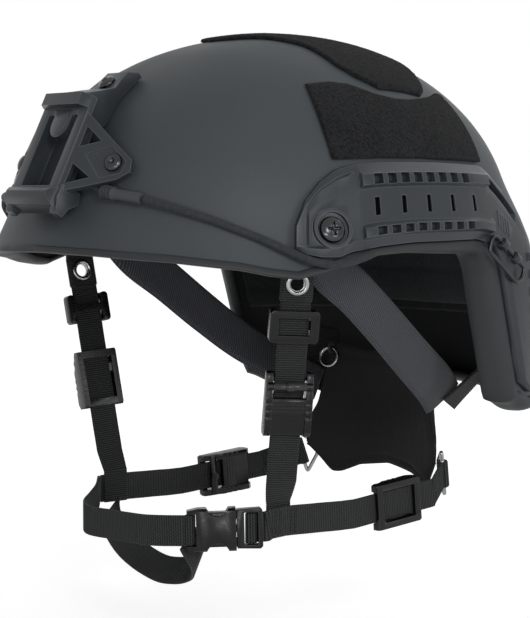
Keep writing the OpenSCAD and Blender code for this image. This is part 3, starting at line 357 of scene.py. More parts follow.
def piece(name, verts, faces, uvs=None):
    """A smooth mesh in metres from points in millimetres. uvs has a (u, v) for each point."""
    mesh = bpy.data.meshes.new(name)
    mesh.from_pydata([tuple(v * MM) for v in verts], [], faces)
    mesh.validate()
    if uvs is not None:
        layer = mesh.uv_layers.new(name="route")
        for loop in mesh.loops:
            layer.data[loop.index].uv = uvs[loop.vertex_index]
    mesh.polygons.foreach_set("use_smooth", [True] * len(mesh.polygons))
    mesh.update()
    bm = bmesh.new()
    bm.from_mesh(mesh)
    bmesh.ops.recalc_face_normals(bm, faces=bm.faces)
    bm.to_mesh(mesh)
    bm.free()
    obj = bpy.data.objects.new(name, mesh)
    bpy.context.scene.collection.objects.link(obj)
    return obj


def rings_piece(name, rings, closed=False, uvs=None, side="left"):
    """A skin through rings of points. The last ring meets the first, or both get a cap."""
    m = len(rings[0])
    n = len(rings)
    faces = []
    for k in range(n if closed else n - 1):
        up = (k + 1) % n
        for i in range(m):
            j = (i + 1) % m
            faces.append((k * m + i, k * m + j, up * m + j, up * m + i))
    if not closed:
        faces.append(tuple(reversed(range(m))))
        faces.append(tuple(range((n - 1) * m, n * m)))
    flat = [uv for ring in uvs for uv in ring] if uvs else None
    return piece(name, sided([p for ring in rings for p in ring], side), faces, flat)


def grid(columns, rows):
    """Shares (across, up) of a grid's points, row by row."""
    return [(i / columns, j / rows) for j in range(rows + 1) for i in range(columns + 1)]


def quilt(name, columns, rows, points):
    """A closed form between two grids of points, the front one and then the back one."""
    w = columns + 1
    count = w * (rows + 1)
    faces = []
    for j in range(rows):
        for a in range(j * w, j * w + columns):
            b = count + a
            faces += [(a, a + 1, a + w + 1, a + w), (b, b + w, b + w + 1, b + 1)]
    border = [*range(columns), *[columns + j * w for j in range(rows)]]
    border += [rows * w + columns - i for i in range(columns)] + [(rows - j) * w for j in range(rows)]
    for a, b in zip(border, border[1:] + border[:1]):
        faces.append((b, a, count + a, count + b))
    return piece(name, points, faces)


def finish(obj, mat, slot, *stands_for, body="helmet", pad=None):
    """Dresses a new piece, seats it on its body and hides the frame's nodes it stands for."""
    obj.data.materials.clear()
    obj.data.materials.append(mat)
    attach(obj, body)
    if stands_for:
        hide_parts(*stands_for)
    return obj


# Materials


class Graph:
    """A node tree with short ways to add nodes."""

    def __init__(self, tree):
        self.tree = tree

    def feed(self, made, key, value):
        """Links a socket to an input, or sets the input's value."""
        if isinstance(value, bpy.types.NodeSocket):
            self.tree.links.new(value, made.inputs[key])
        else:
            made.inputs[key].default_value = value

    def node(self, kind, inputs, out=0, **settings):
        """Adds a shader node, feeds its inputs by name or number and gives one of its outputs."""
        made = self.tree.nodes.new("ShaderNode" + kind)
        for key, value in settings.items():
            setattr(made, key, value)
        for key, value in inputs.items():
            self.feed(made, key, value)
        return made.outputs[out]

    def math(self, operation, a, b=0.0):
        return self.node("Math", {0: a, 1: b}, operation=operation)

    def seen_directly(self):
        """1 for rays that show the background itself, in the picture, in metal or through glass."""
        kinds = ("Camera", "Glossy", "Transmission")
        first, second, third = [self.node("LightPath", {}, f"Is {kind} Ray") for kind in kinds]
        return self.math("MAXIMUM", self.math("MAXIMUM", first, second), third)


class Surface(Graph):
    """A material. Its textures lie in the object's own place."""

    def __init__(self, name, color, rough, **sockets):
        self.mat = bpy.data.materials.new(name)
        self.mat.use_nodes = True
        super().__init__(self.mat.node_tree)
        self.color = color
        self.here = self.node("TexCoord", {}, "Object")
        self.set("Base Color", (*color, 1))
        self.set("Roughness", rough)
        for key, value in sockets.items():
            self.set(key.replace("_", " "), value)

    def set(self, key, value):
        self.feed(self.tree.nodes["Principled BSDF"], key, value)

    def route(self):
        """The route's UVs, across and along."""
        parts = self.tree.nodes.new("ShaderNodeSeparateXYZ")
        self.feed(parts, 0, self.node("TexCoord", {}, "UV"))
        return parts.outputs[0], parts.outputs[1]

    def noise(self, scale, detail=3.0, rough=0.5, stretch=None):
        """A cloudy grain. With stretch it is that much finer along Z."""
        where = self.here
        if stretch:
            where = self.node("Mapping", {"Vector": where, "Scale": (1, 1, stretch)})
        inputs = {"Vector": where, "Scale": scale, "Detail": detail, "Roughness": rough}
        return self.node("TexNoise", inputs, "Fac")

    def cells(self, scale):
        return self.node("TexVoronoi", {"Vector": self.here, "Scale": scale}, "Distance")

    def wave(self, value, pitch):
        return self.math("SINE", self.math("MULTIPLY", value, 2 * math.pi / pitch))

    def plus(self, a, b, share):
        """a with a share of b."""
        return self.math("ADD", a, self.math("MULTIPLY", b, share))

    def span(self, value, low, high, to_low=0, to_high=1):
        inputs = {"Value": value, "From Min": low, "From Max": high}
        return self.node("MapRange", inputs | {"To Min": to_low, "To Max": to_high})

    def blend(self, factor, dark, light):
        """Colour between two shades by a factor."""
        return self.node("Mix", {0: factor, 6: dark, 7: light}, 2, data_type="RGBA")

    def shade(self, times):
        return (*(c * times for c in self.color), 1)

    def tone(self, factor, dark, light):
        """Base colour between two shares of the material's own colour."""
        self.set("Base Color", self.blend(factor, self.shade(dark), self.shade(light)))

    def bump(self, height, depth, strength):
        """depth is in metres."""
        inputs = {"Height": height, "Distance": depth, "Strength": strength}
        self.set("Normal", self.node("Bump", inputs))

    def rubbed_and_lit_edges(self, base, radius, light):
        """The base colour, lighter along edges, where a rounded normal leaves the face's own: partly rubbed
        wear, partly a painted highlight.
        """
        soft = self.node("Bevel", {"Radius": radius}, samples=4)
        face = self.node("NewGeometry", {}, "Normal")
        dot = self.node("VectorMath", {0: soft, 1: face}, "Value", operation="DOT_PRODUCT")
        self.set("Base Color", self.blend(self.span(dot, 0.985, 0.86), base, self.shade(light)))


def srgb(r, g, b):
    def one(c):
        c /= 255
        return c / 12.92 if c <= 0.04045 else ((c + 0.055) / 1.055) ** 2.4

    return one(r), one(g), one(b)


def paint(name, color, rough, grain, depth, edges=False, shine=0.25):
    """Matte sprayed paint or moulded texture with a fine grain."""
    s = Surface(name, color, rough, Specular_IOR_Level=shine)
    broad = s.noise(22, 4)
    fine = s.noise(grain, 2, 0.6)
    base = s.blend(s.span(broad, 0.3, 0.7), s.shade(0.93), s.shade(1.06))
    speck = s.blend(s.span(fine, 0.55, 0.8, 0, 0.5), base, s.shade(1.5))
    # With edges, the edges get lighter: partly rubbed wear, partly a painted highlight.
    if edges:
        s.rubbed_and_lit_edges(speck, 0.0009, 3.4)
    else:
        s.set("Base Color", speck)
    s.set("Roughness", s.span(broad, 0.25, 0.75, rough - 0.05, rough + 0.06))
    s.bump(s.plus(fine, broad, 0.3), depth, 0.7)
    return s.mat


def gloss_plastic(name, color, rough):
    """Moulded plastic with a sheen, light edges that are partly rubbed wear and partly a painted highlight,
    and a fine pebble.
    """
    s = Surface(name, color, rough, Specular_IOR_Level=0.22)
    scuff = s.noise(260, 4, 0.7, stretch=7)
    # Lighter edges: partly rubbed wear, partly a painted highlight.
    s.rubbed_and_lit_edges(s.blend(s.span(scuff, 0.45, 0.75), s.shade(0.85), s.shade(1.35)), 0.0006, 9)
    s.set("Roughness", s.span(scuff, 0.3, 0.75, rough - 0.06, rough + 0.14))
    s.bump(s.noise(700), 0.00003, 0.6)
    return s.mat


def rubber(name, color):
    s = Surface(name, color, 0.6, Specular_IOR_Level=0.3)
    broad = s.noise(60, 4)
    s.tone(s.span(broad, 0.3, 0.75), 0.88, 1.2)
    s.set("Roughness", s.span(broad, 0.3, 0.7, 0.5, 0.68))
    s.bump(s.noise(1800, 2), 0.00003, 0.6)
    return s.mat


def pile(name, color):
    """Hooked loop pile: tiny matted loops."""
    s = Surface(name, color, 0.95, Specular_IOR_Level=0.1, Sheen_Weight=0.06, Sheen_Roughness=0.5)
    depth = s.plus(s.noise(1400, 4, 0.75), s.cells(650), -0.5)
    both = s.plus(s.math("MULTIPLY", depth, 0.75), s.noise(90), 0.25)
    s.tone(s.span(both, 0.15, 0.55), 0.25, 2.3)
    s.bump(depth, 0.0008, 1.0)
    return s.mat


def weave(name, color):
    """Ribbed webbing. The ribs are in the mesh, and the threads come from the route's UVs."""
    s = Surface(name, color, 0.62, Specular_IOR_Level=0.18, Sheen_Weight=0.05, Sheen_Roughness=0.4)
    across, length = s.route()
    threads = s.math("MULTIPLY", s.wave(length, 2 * RIB), s.wave(across, 1.7))
    fuzz = s.noise(1500, 3, 0.7)
    height = s.plus(s.plus(s.wave(length, RIB), threads, 0.6), fuzz, 1.2)
    # The colour follows the bump's height: painted shade in the gaps between threads and a painted highlight
    # on their tops, over the weave's own pattern.
    s.tone(s.span(height, -0.4, 1.9), 0.15, 3.0)
    s.bump(height, 0.00012, 0.9)
    return s.mat


def mesh_cloth(name, color, cell=720, depth=0.00022):
    """Spacer mesh or knit with small dimples."""
    s = Surface(name, color, 0.85, Specular_IOR_Level=0.1, Sheen_Weight=0.06, Sheen_Roughness=0.45)
    holes = s.span(s.cells(cell), 0.0, 0.55, -0.6, 0.5)
    height = s.plus(holes, s.noise(2400, 3, 0.7), 0.5)
    s.tone(s.span(s.plus(height, s.noise(70), 0.5), -0.2, 0.9), 0.62, 1.3)
    s.bump(height, depth, 0.8)
    return s.mat


def grosgrain(name, color):
    """Ribbed cover of the padded bands, from UVs in millimetres."""
    s = Surface(name, color, 0.8, Specular_IOR_Level=0.2, Sheen_Weight=0.08, Sheen_Roughness=0.4)
    across, length = s.route()
    ribs = s.wave(s.plus(length, across, 0.35), 1.3)
    fuzz = s.noise(1700, 3, 0.7)
    height = s.math("ADD", s.plus(ribs, s.wave(across, 1.1), 0.35), fuzz)
    s.tone(s.span(height, -0.6, 1.8), 0.45, 1.7)
    s.bump(height, 0.00012, 0.8)
    return s.mat


def metal(name, color, rough):
    s = Surface(name, color, rough, Metallic=1.0)
    brushed = s.noise(700, stretch=12)
    s.tone(s.span(s.noise(120), 0.3, 0.7), 0.75, 1.1)
    s.set("Roughness", s.span(brushed, 0.3, 0.7, rough - 0.08, rough + 0.12))
    s.bump(brushed, 0.00001, 0.4)
    return s.mat


def braid(name, color):
    """Braided elastic cover from the cord's UVs: turns round it, and millimetres along it."""
    s = Surface(name, color, 0.8, Specular_IOR_Level=0.15, Sheen_Weight=0.06)
    around, length = s.route()
    turn = s.math("MULTIPLY", around, 2 * math.pi * 8)
    run = s.math("MULTIPLY", length, 2 * math.pi / PLAIT)
    crossing = [s.math("SINE", s.math(way, turn, run)) for way in ("ADD", "SUBTRACT")]
    flecks = s.noise(500, 2)
    both = s.plus(flecks, s.math("MULTIPLY", *crossing), 0.5)
    s.tone(s.span(both, 0.0, 1.0), 0.5, 1.6)
    s.bump(both, 0.00015, 0.9)
    return s.mat


# Pitch of the webbing's ribs and of the cord's plait
RIB = 1.15
PLAIT = 1.1

SHELL_PAINT = paint("shell_paint", srgb(62, 67, 70), 0.55, 1500, 0.00005)
SHELL_INSIDE = paint("shell_inside", srgb(24, 25, 26), 0.8, 900, 0.00004)
# Near-black paint for the floor under the rail slots: a painted shadow.
SLOT_SHADOW_PAINT = paint("painted_slot_shadow", srgb(7, 7, 8), 0.9, 900, 0.00004, shine=0.02)
MOULDED = paint("moulded_plastic", srgb(47, 51, 54), 0.34, 1900, 0.00003, edges=True)
BLACK = gloss_plastic("black_plastic", srgb(12, 12, 13), 0.25)
TRIM = rubber("trim_rubber", srgb(40, 42, 44))
BOOT = rubber("boot_rubber", srgb(58, 61, 64))
PILE = pile("loop_pile", srgb(26, 27, 29))
WEB = weave("webbing", srgb(28, 29, 29))
PAD = mesh_cloth("pad_mesh", srgb(46, 47, 49))
BAND = grosgrain("band_cover", srgb(66, 67, 72))
LINER = mesh_cloth("liner_cloth", srgb(32, 33, 34), 500)
KNIT = mesh_cloth("nape_knit", srgb(34, 34, 35), 1200, 0.0001)
STEEL = metal("steel", (0.3, 0.3, 0.3), 0.24)
# Glossy plastic for the lock rollers. Its lighter grey is a painted shine.
GLOSS_WITH_PAINTED_SHINE = gloss_plastic("gloss_with_painted_shine", srgb(52, 52, 52), 0.12)
DARK_STEEL = metal("dark_steel", (0.05, 0.052, 0.056), 0.28)
SCREW = metal("black_screw", (0.05, 0.052, 0.055), 0.16)
BRAID = braid("cord_braid", srgb(50, 53, 55))
THREAD = metal("thread", (0.03, 0.031, 0.032), 0.6)


# Camera


def make_camera():
    a, e = math.radians(VIEW_AZIMUTH), math.radians(VIEW_ELEVATION)
    right = Vector((math.cos(a), math.sin(a), 0))
    back = Vector((math.sin(a) * math.cos(e), -math.cos(a) * math.cos(e), math.sin(e)))
    up = back.cross(right)
    target = right * VIEW_RIGHT + Vector((0, 0, VIEW_UP))
    data = bpy.data.cameras.new("camera")
    data.sensor_fit = "VERTICAL"
    data.sensor_height = SENSOR
    data.lens = LENS
    data.clip_start = 0.05
    cam = bpy.data.objects.new("camera", data)
    cam.matrix_world = axes(target + back * VIEW_DISTANCE, right, up, back)
    bpy.context.scene.collection.objects.link(cam)
    bpy.context.scene.camera = cam


# Nodes of the frame that keep their shape


SHARP_EDGE = 32
BEVEL_FROM = 38


def soft_shading():
    """A modifier group that shades faces smooth and keeps sharp edges."""
    group = bpy.data.node_groups.new("soft_shading", "GeometryNodeTree")
    for way in ("INPUT", "OUTPUT"):
        group.interface.new_socket("Geometry", in_out=way, socket_type="NodeSocketGeometry")
    start = group.nodes.new("NodeGroupInput")
    end = group.nodes.new("NodeGroupOutput")
    flat = group.nodes.new("FunctionNodeCompare")
    angle = group.nodes.new("GeometryNodeInputMeshEdgeAngle")
    faces, edges = [group.nodes.new("GeometryNodeSetShadeSmooth") for _ in range(2)]
    edges.domain = "EDGE"
    flat.data_type = "FLOAT"
    flat.operation = "LESS_THAN"
    flat.inputs[1].default_value = math.radians(SHARP_EDGE)
    chain = [(start, faces, 0), (faces, edges, 0), (edges, end, 0)]
    chain += [(angle, flat, 0), (flat, edges, "Shade Smooth")]
    for giver, taker, key in chain:
        group.links.new(giver.outputs[0], taker.inputs[key])
    return group


SOFT = soft_shading()


def dress(name, mat, bevel=0.3):
    """Gives a node of the frame its material, rounded edges and smooth faces."""
    obj = nodes[name]
    layers = obj.data.attributes
    if "custom_normal" in layers:
        layers.remove(layers["custom_normal"])
    obj.data.materials.clear()
    obj.data.materials.append(mat)
    weld = obj.modifiers.new("weld", "WELD")
    weld.merge_threshold = 0.00002
    edge = obj.modifiers.new("edges", "BEVEL")
    edge.width = bevel * MM
    edge.segments = 2
    edge.limit_method = "ANGLE"
    edge.angle_limit = math.radians(BEVEL_FROM)
    edge.harden_normals = False
    shading = obj.modifiers.new("shading", "NODES")
    shading.node_group = SOFT


def side_names(*names):
    return [f"{side}_{name}" for side in SIDES for name in names]


def dress_nodes():
    dress("mount_frame", MOULDED, 0.35)
    for name in side_names("rail"):
        dress(name, MOULDED)
    for name in side_names("front_lock", "rear_lock", "slide_loop") + ["buckle_male", "buckle_female"]:
        dress(name, BLACK)
    for name in side_names("elastic_boot"):
        dress(name, BOOT, 0.25)
    dress("liner_rivets", BLACK)


# Shell and trim


RIM_START = 6


def dome_point(a, f, grow):
    return skin(a, (CROWN_H + grow) * cos(f) ** (2 / DOME_RISE), grow)


def rim_point(a, f, grow):
    return skin(a, mix(RIM_START, rim_z(a), f), grow)


def fine_dirs():
    """Directions round the shell, close together where the ear cut turns."""
    half = [2.0 * k for k in range(54)] + [108 + 0.4 * k for k in range(70)]
    half += [136 + 2.0 * k for k in range(22)]
    return half + [180] + [-a for a in reversed(half[1:])]


DIRS = fine_dirs()


def make_shell():
    """The shell, from the crown down its inner face and up its outer one."""
    dome_angles = [1.5 * k for k in range(2, 56)]
    rows = [(dome_point, f, -SHELL_T) for f in dome_angles]
    rows += [(rim_point, k / 16, -SHELL_T) for k in range(17)]
    inner = (len(rows) - 1) * len(DIRS)
    rows += [(rim_point, 1 - k / 30, 0.0) for k in range(31)]
    rows += [(dome_point, f, 0.0) for f in reversed(dome_angles)]
    obj = rings_piece("shell_surface", [[make(a, f, grow) for a in DIRS] for make, f, grow in rows])
    finish(obj, SHELL_PAINT, "shell_composite", "shell")
    obj.data.materials.append(SHELL_INSIDE)
    for face in obj.data.polygons[:inner]:
        face.material_index = 1


TRIM_SWELL = 2.6


def trim_profile(a):
    """Rounded channel section at a direction: x outward and y up the wall."""
    grow = ease((abs(wrap(a)) - 80) / 36)
    wall = SHELL_T / 2 + TRIM_GAP
    side, inner = TRIM_W / 2 + 0.7 * grow, TRIM_W / 2 + 3.8 * grow
    lip, web = TRIM_H - TRIM_WEB, TRIM_WEB + TRIM_SWELL * grow
    out = [(wall, lip - 0.5), (wall + 0.4, lip), (side - 0.6, lip), (side - 0.1, lip - 0.5)]
    for k in range(25):
        t = math.radians(180 * k / 24)
        reach = side if t < math.pi / 2 else inner
        bow = abs(math.cos(t)) ** 0.8 * (1 if math.cos(t) > 0 else -1)
        out.append((reach * bow, -web * math.sin(t) ** 0.8))
    out += [(-inner, lip - 1.3), (-inner + 0.8, lip), (-wall - 0.4, lip), (-wall, lip - 0.5)]
    return out + [(-wall, -TRIM_GAP), (wall, -TRIM_GAP)]


def make_trim():
    rings = []
    n = len(DIRS)
    places = [skin(a, rim_z(a)) for a in DIRS]
    for i, a in enumerate(DIRS):
        z = rim_z(a)
        inner = skin(a, z, -SHELL_T)
        p = (places[i] + inner) / 2
        out = (places[i] - inner).normalized()
        ahead = (places[(i + 2) % n] - places[i]).normalized()
        behind = (places[i] - places[i - 2]).normalized()
        way = (ahead + behind).normalized()
        up = skin_out(a, z + 1).cross(way).normalized()
        rings.append([p + out * x + up * y for x, y in trim_profile(a)])
    finish(rings_piece("trim_surface", rings, closed=True), TRIM, "rubber_trim", "edge_trim")


# Loop panels


PANEL_EDGE = 1.4


def panel(name, place, columns, rows, node):
    """A patch of pile over the dome. place(u, v, grow) gives its points."""
    top, base = [], []
    for u, v in grid(columns, rows):
        inset = min(u * columns, (1 - u) * columns, v * rows, (1 - v) * rows) / PANEL_EDGE
        round_off = 0.8 * (1 - math.sqrt(1 - max(0, 1 - inset) ** 2))
        top.append(place(u, v, SEAT_GAP + PANEL_T - 0.25 - round_off))
        base.append(place(u, v, SEAT_GAP))
    obj = quilt(name, columns, rows, top + base)
    normals = [v.normal.copy() for v in obj.data.vertices]
    for i, p in enumerate(top):
        tuft = noise.noise(p * 1.9) * 0.5 + noise.noise(p * 4.3) * 0.5
        obj.data.vertices[i].co += normals[i] * MM * 0.3 * tuft
    obj.data.update()
    finish(obj, PILE, "loop_fabric", node)


PANEL_HALF = 83
CROWN_FRONT = both_ways([(0, -30), (12, -27), (25, -15), (45, -5), (68, -3), (76, 2), (PANEL_HALF, 12)])
CROWN_REAR = both_ways([(0, 68), (40, 62), (66, 53), (78, 47), (PANEL_HALF, 40)])
SIDE_RIBS = [
    (69, 45, 65, 0.745), (76, 45.5, 74, 0.759), (83, 46, 82, 0.751), (90, 46, 91, 0.709),
    (98, 46, 99, 0.689), (104, 45.5, 105, 0.687), (110, 45.3, 112, 0.695), (116, 45, 119, 0.707),
    (122, 44.5, 126, 0.727),
]


def crown_place(u, v, grow):
    x = mix(-PANEL_HALF, PANEL_HALF, u)
    return crown_at(x, mix(lookup(x, CROWN_FRONT), lookup(x, CROWN_REAR), v), grow)


def side_place(sign):
    """Places on a side panel, whose ribs give a low and a high end each."""
    def place(u, v, grow):
        k = u * (len(SIDE_RIBS) - 1)
        i = min(len(SIDE_RIBS) - 2, int(k))
        r = [mix(p, q, k - i) for p, q in zip(SIDE_RIBS[i], SIDE_RIBS[i + 1])]
        p = skin(mix(r[0], r[2], v), mix(r[1], r[3] * CROWN_H, v), grow)
        return Vector((sign * p.x, p.y, p.z))

    return place


def make_panels():
    panel("crown_pile", crown_place, 190, 110, "crown_loop_panel")
    panel("left_pile", side_place(1), 130, 48, "left_loop_panel")
    panel("right_pile", side_place(-1), 130, 48, "right_loop_panel")


# Webbing


RIB_H = 0.13


def web_section(w, t):
    """Points of a webbing section with rounded edges: (across, through)."""
    half, r = w / 2, t / 2
    pts = []
    for way in (1, -1):
        for a in range(0, 181, 30):
            turn = a - 90 * way
            pts.append((way * (half - r * 0.7) + r * 0.7 * cos(turn), r * sin(turn)))
        pts += [(half * k * way / 4, r * way) for k in (3, 2, 1, 0, -1, -2, -3)]
    return pts


def strap(name, route, widths, w=WEB_W, t=WEB_T, side="left"):
    """Webbing along a route, ribbed across. widths gives the width's direction at each route point."""
    route, widths = sided(route, side), sided(widths, side)
    places, points = zip(*even(route, RIB / 4))
    section = web_section(w, t)
    rings, uvs = [], []
    for i, (k, p) in enumerate(zip(places, points)):
        j = min(len(widths) - 2, int(k))
        face, across = faced(points, i, 3, widths[j].lerp(widths[j + 1], min(1, k - j)))
        swell = 1 + RIB_H * math.sin(i * math.pi / 2) / (t / 2)
        sway = (0.12 * math.sin(i * 0.021 + len(name)) + 0.06 * math.sin(i * 0.11)) * 0.4
        ring = []
        for x, y in section:
            ring.append(p + across * (x + sway) + face * (y * swell - RIB_H * (1 if y > 0 else -1)))
        rings.append(ring)
        uvs.append([(x, i * RIB / 4) for x, y in section])
    return rings_piece(name, rings, uvs=uvs)


THREAD_R = 0.24


def thread(name, stitches, slot, side="left", body="helmet"):
    """Sewn thread: a small rounded bar for each (start, end, outward) triple."""
    verts, faces = [], []
    for p, q, n in stitches:
        way = (q - p).normalized()
        across = way.cross(n).normalized()
        first = len(verts)
        for at, scale in ((p, 0.4), (p + way * 0.3, 1), (q - way * 0.3, 1), (q, 0.4)):
            for k in range(6):
                off = across * cos(60 * k) * THREAD_R * 1.3 + n * sin(60 * k) * THREAD_R
                verts.append(at + off * scale)
        for j in range(3):
            for k in range(6):
                a, b = first + j * 6 + k, first + j * 6 + (k + 1) % 6
                faces.append((a, b, b + 6, a + 6))
        faces.append(tuple(range(first, first + 6)))
        faces.append(tuple(range(first + 18, first + 24)))
    finish(piece(name, sided(verts, side), faces), THREAD, slot, body=body)


def seams_across(route, distances, width, t=WEB_T, w=WEB_W):
    """Stitches in rows across webbing, on both faces. Distances run along the route."""
    points = [p for _, p in even(route, 0.5)]
    out = []
    for distance in distances:
        i = round(distance / 0.5) % len(points)
        face, side = faced(points, i, 2, width)
        for k in range(-3, 4):
            for s in (1, -1):
                at = points[i] + side * k * (w - 3) / 7 + face * s * t / 2
                out.append((at - side * 0.55, at + side * 0.55, face * s))
    return out


def turn_width(turn):
    return Vector((cos(turn), sin(turn), 0))


LINER_LIFT = -SHELL_T - LINER_GAP
HEADBAND_IN = LINER_LIFT - BAND_T
EYELET = Vector((
    wall_r(STRAP_DIR, 0, HEADBAND_IN) * sin(STRAP_DIR) - 7,
    -wall_r(STRAP_DIR, 0, HEADBAND_IN) * cos(STRAP_DIR) + 2,
    -EYELET_DROP,
))
STRAP_WAY = (JAW - EYELET).normalized()
STRAP_LEN = (JAW - EYELET).length
TAB_T = 2.6


def eyelet_place(side):
    """Matrix of the eyelet: Z down the strap and X across it."""
    return along(EYELET, JAW, turn_width(TURN[side]))


STRAP_START = 8.6
AHEAD = Vector((0, 1, 0))


def make_front_strap(side):
    route = [EYELET + STRAP_WAY * STRAP_START, EYELET + STRAP_WAY * (STRAP_LEN - WEB_W - 6)]
    route += [JAW + UP * (WEB_W / 2 + 2), JAW - UP * (WEB_W / 2)]
    w = turn_width(TURN[side])
    obj = strap(f"{side}_front_webbing", route, [w, w, AHEAD, AHEAD], side=side)
    finish(obj, WEB, "webbing", f"{side}_front_strap")


REAR_OFF = WEB_T + RUN_GAP
REAR_A = JAW + Vector((3, 47, -1))
REAR_B = Vector((JAW.x + 1, NAPE.y - 19, JAW.z + 4))
BUCKLE_DIR = Vector((-23, -32, -1)).normalized()
BUCKLE_OUT = BUCKLE_DIR.cross(-UP).normalized()
FOLD_GAP = 0.25
MALE_BAR = 5.6
MALE_BAR_R = 1.1
FOLD_MID = MALE_BAR_R + FOLD_GAP + WEB_T / 2
MALE_L = 13
FEMALE_BAR = 22.6
FEMALE_FOLD = 1 + FOLD_GAP + WEB_T / 2
BUCKLE_TAIL = JAW + Vector((REAR_OFF - 0.9, -WEB_W / 2 - 2.9, -1.5)) + BUCKLE_OUT * FOLD_MID
RING_PIN = RING_WIRE + 0.3
FOLD_R = RING_PIN / 2 + 0.15
NAPE_WAY = (NAPE - REAR_B).normalized()
NAPE_UP = (UP - NAPE_WAY * NAPE_WAY.z).normalized()
RING_WAY = NAPE_UP.cross(Vector((-1, 0.62, 0))).cross(NAPE_UP).normalized()


def buckle_point(w, z):
    """A place in the buckle's middle plane: w outward and z from the jaw to the chin."""
    return BUCKLE_TAIL + BUCKLE_DIR * (0.3 + z) + BUCKLE_OUT * w


BUCKLE_NOSE = buckle_point(0, MALE_L + FEMALE_BAR + FEMALE_FOLD)


def bar_fold(bar, r, first, last):
    """Webbing round a bar of the buckle. 0 degrees is outward and 90 the chin side."""
    turns = [mix(first, last, k / 20) for k in range(21)]
    return [buckle_point(r * cos(a), bar + r * sin(a)) for a in turns]


def make_rear_strap(side):
    r = FOLD_R + WEB_T / 2
    end = NAPE - NAPE_WAY * r
    if side == "left":
        route = bar_fold(MALE_BAR, FOLD_MID, -100, 176)
        route += [buckle_point(-FOLD_MID - 0.06, -2), JAW + Vector((REAR_OFF, -WEB_W / 2 + 1, -0.6))]
    else:
        route = [JAW + Vector((REAR_OFF - 0.3, -WEB_W / 2 - 1, 0))]
    low, middle = REAR_A + Vector((0, -8, 0)), REAR_B.lerp(end, 0.5)
    route += [JAW + Vector((REAR_OFF, 3, 0)), low, REAR_A, REAR_B, middle]
    widths = [UP] * len(route) + [NAPE_UP] * 16
    # The webbing ends in a fold round the ring's bar
    out = NAPE_WAY.cross(NAPE_UP).normalized()
    turns = [math.pi * k / 8 for k in range(16)]
    route += [NAPE + (NAPE_WAY * -math.cos(t) + out * math.sin(t)) * r for t in turns]
    obj = strap(f"{side}_rear_webbing", route, widths, side=side)
    finish(obj, WEB, "webbing", f"{side}_rear_strap")
    seams = seams_across([REAR_B, middle, end], (2, 4, 12, 14), NAPE_UP)
    seams += seams_across([JAW + Vector((REAR_OFF, -4, 0)), low], (0.5, 3, 10, 12.5), UP)
    thread(f"{side}_rear_seams", seams, "webbing", side)


BEND_END = BUCKLE_NOSE + Vector((-16, -12, -0.6))


def bend(obj, node, start):
    """Dresses a strap held by the helmet at one end and by the buckle's released half at the other."""
    obj.data.materials.append(WEB)
    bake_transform(obj, "helmet", "buckle_half", start=start * MM, end=BEND_END * MM)
    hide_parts(node)


def make_chin_straps():
    far = Vector((-JAW.x - REAR_OFF + 0.3, JAW.y - WEB_W / 2 - 2.3, JAW.z))
    fold = bar_fold(MALE_L + FEMALE_BAR, FEMALE_FOLD, -200, 8)
    points = [fold[-1], BUCKLE_NOSE + BUCKLE_DIR * 3 + BUCKLE_OUT * 0.9, BEND_END]
    points += vectors((8, -97.5, -136), (-12, -98.5, -136.4), (-30, -89, -136.4))
    points += vectors((-47, -73.5, -135.6), (-60, -61, -134.2), far)
    run = curve(points, 8)
    # The webbing comes back under itself and is sewn down
    ways = [(q - p).normalized().cross(UP).normalized() for p, q in zip(run[6:18], run[7:19])]
    back = [p - way * (WEB_T + 0.1) for p, way in zip(run[6:18], ways)]
    route = back[::-1] + fold + run[1:]
    bend(strap("chin_webbing", route, [UP] * len(route)), "chin_band", far)
    thread("chin_seams", seams_across(run, (4.5, 7, 15, 17.5), UP), "webbing", body="buckle_half")
    start = BUCKLE_NOSE - BUCKLE_DIR * 1.5 + Vector((-0.81, 0.58, 0)) * 4.3 + Vector((0, 0, -5))
    points = [start, start + Vector((-6, 10, -11))]
    points += vectors((18, -54, -161), (0, -52, -166), (-18, -52, -166.4), (-38, -55, -159))
    points += vectors((-56, -53, -149), (-JAW.x + 4, JAW.y - 4, JAW.z - 9))
    route = curve(points, 8)
    obj = strap("under_chin_webbing", route, [Vector((0, 0.45, 0.9))] * len(route))
    bend(obj, "under_chin_strap", points[-1])


def make_ties():
    widths = vectors((0.55, 0.1, 0.75), (0.65, -0.2, 0.65), (0.7, -0.45, 0.55))
    for side in SIDES:
        top = skin(146, -52, -SHELL_T - 3.2)
        low = BAND_ROUTE[-1] + Vector((0.8, 0.14, -0.57)) * (PADDED_T / 2 + 1.7)
        route = [low, low.lerp(top, 0.5), top]
        obj = strap(f"{side}_tie_webbing", route, widths, PADDED_W - 6, 1.8, side)
        finish(obj, WEB, "webbing", f"{side}_rear_tie")


# Padded bands


BAND_START = HEADBAND_IN - PADDED_T / 2
BAND_ROUTE = [skin(77, 14, BAND_START - 1), skin(77, 8, BAND_START - 3.4)] + vectors(
    (82, -22, -5), (79.5, 0, -21), (76.5, 22, -38), (71, 46, -56), (62, 70, -71), (51, 88, -82)
)
BAND_WIDTH = vectors(
    (0, 1, 0), (0, 1, 0.1), (0, 0.8, 0.6), (0.06, 0.6, 0.8), (0.1, 0.58, 0.8), (0.2, 0.56, 0.8),
    (0.4, 0.5, 0.8), (0.5, 0.4, 0.8),
)
HEM = 5


def pad_section():
    """Crowned section with a flat sewn hem at both edges: (across, through) as shares of the size."""
    pts = []
    for k in range(40):
        a = 2 * math.pi * k / 40
        x, y = math.cos(a), math.sin(a)
        reach = math.copysign(abs(x) ** 0.72, x)
        body = math.copysign(abs(y) ** 0.55, y)
        pts.append((reach / 2, body / 2 * (0.42 if abs(reach) > 0.86 else 1.0)))
    return pts


def band_swell(i):
    return 0.93 + 0.07 * math.sin(i * 0.33) * math.sin(i * 0.13)


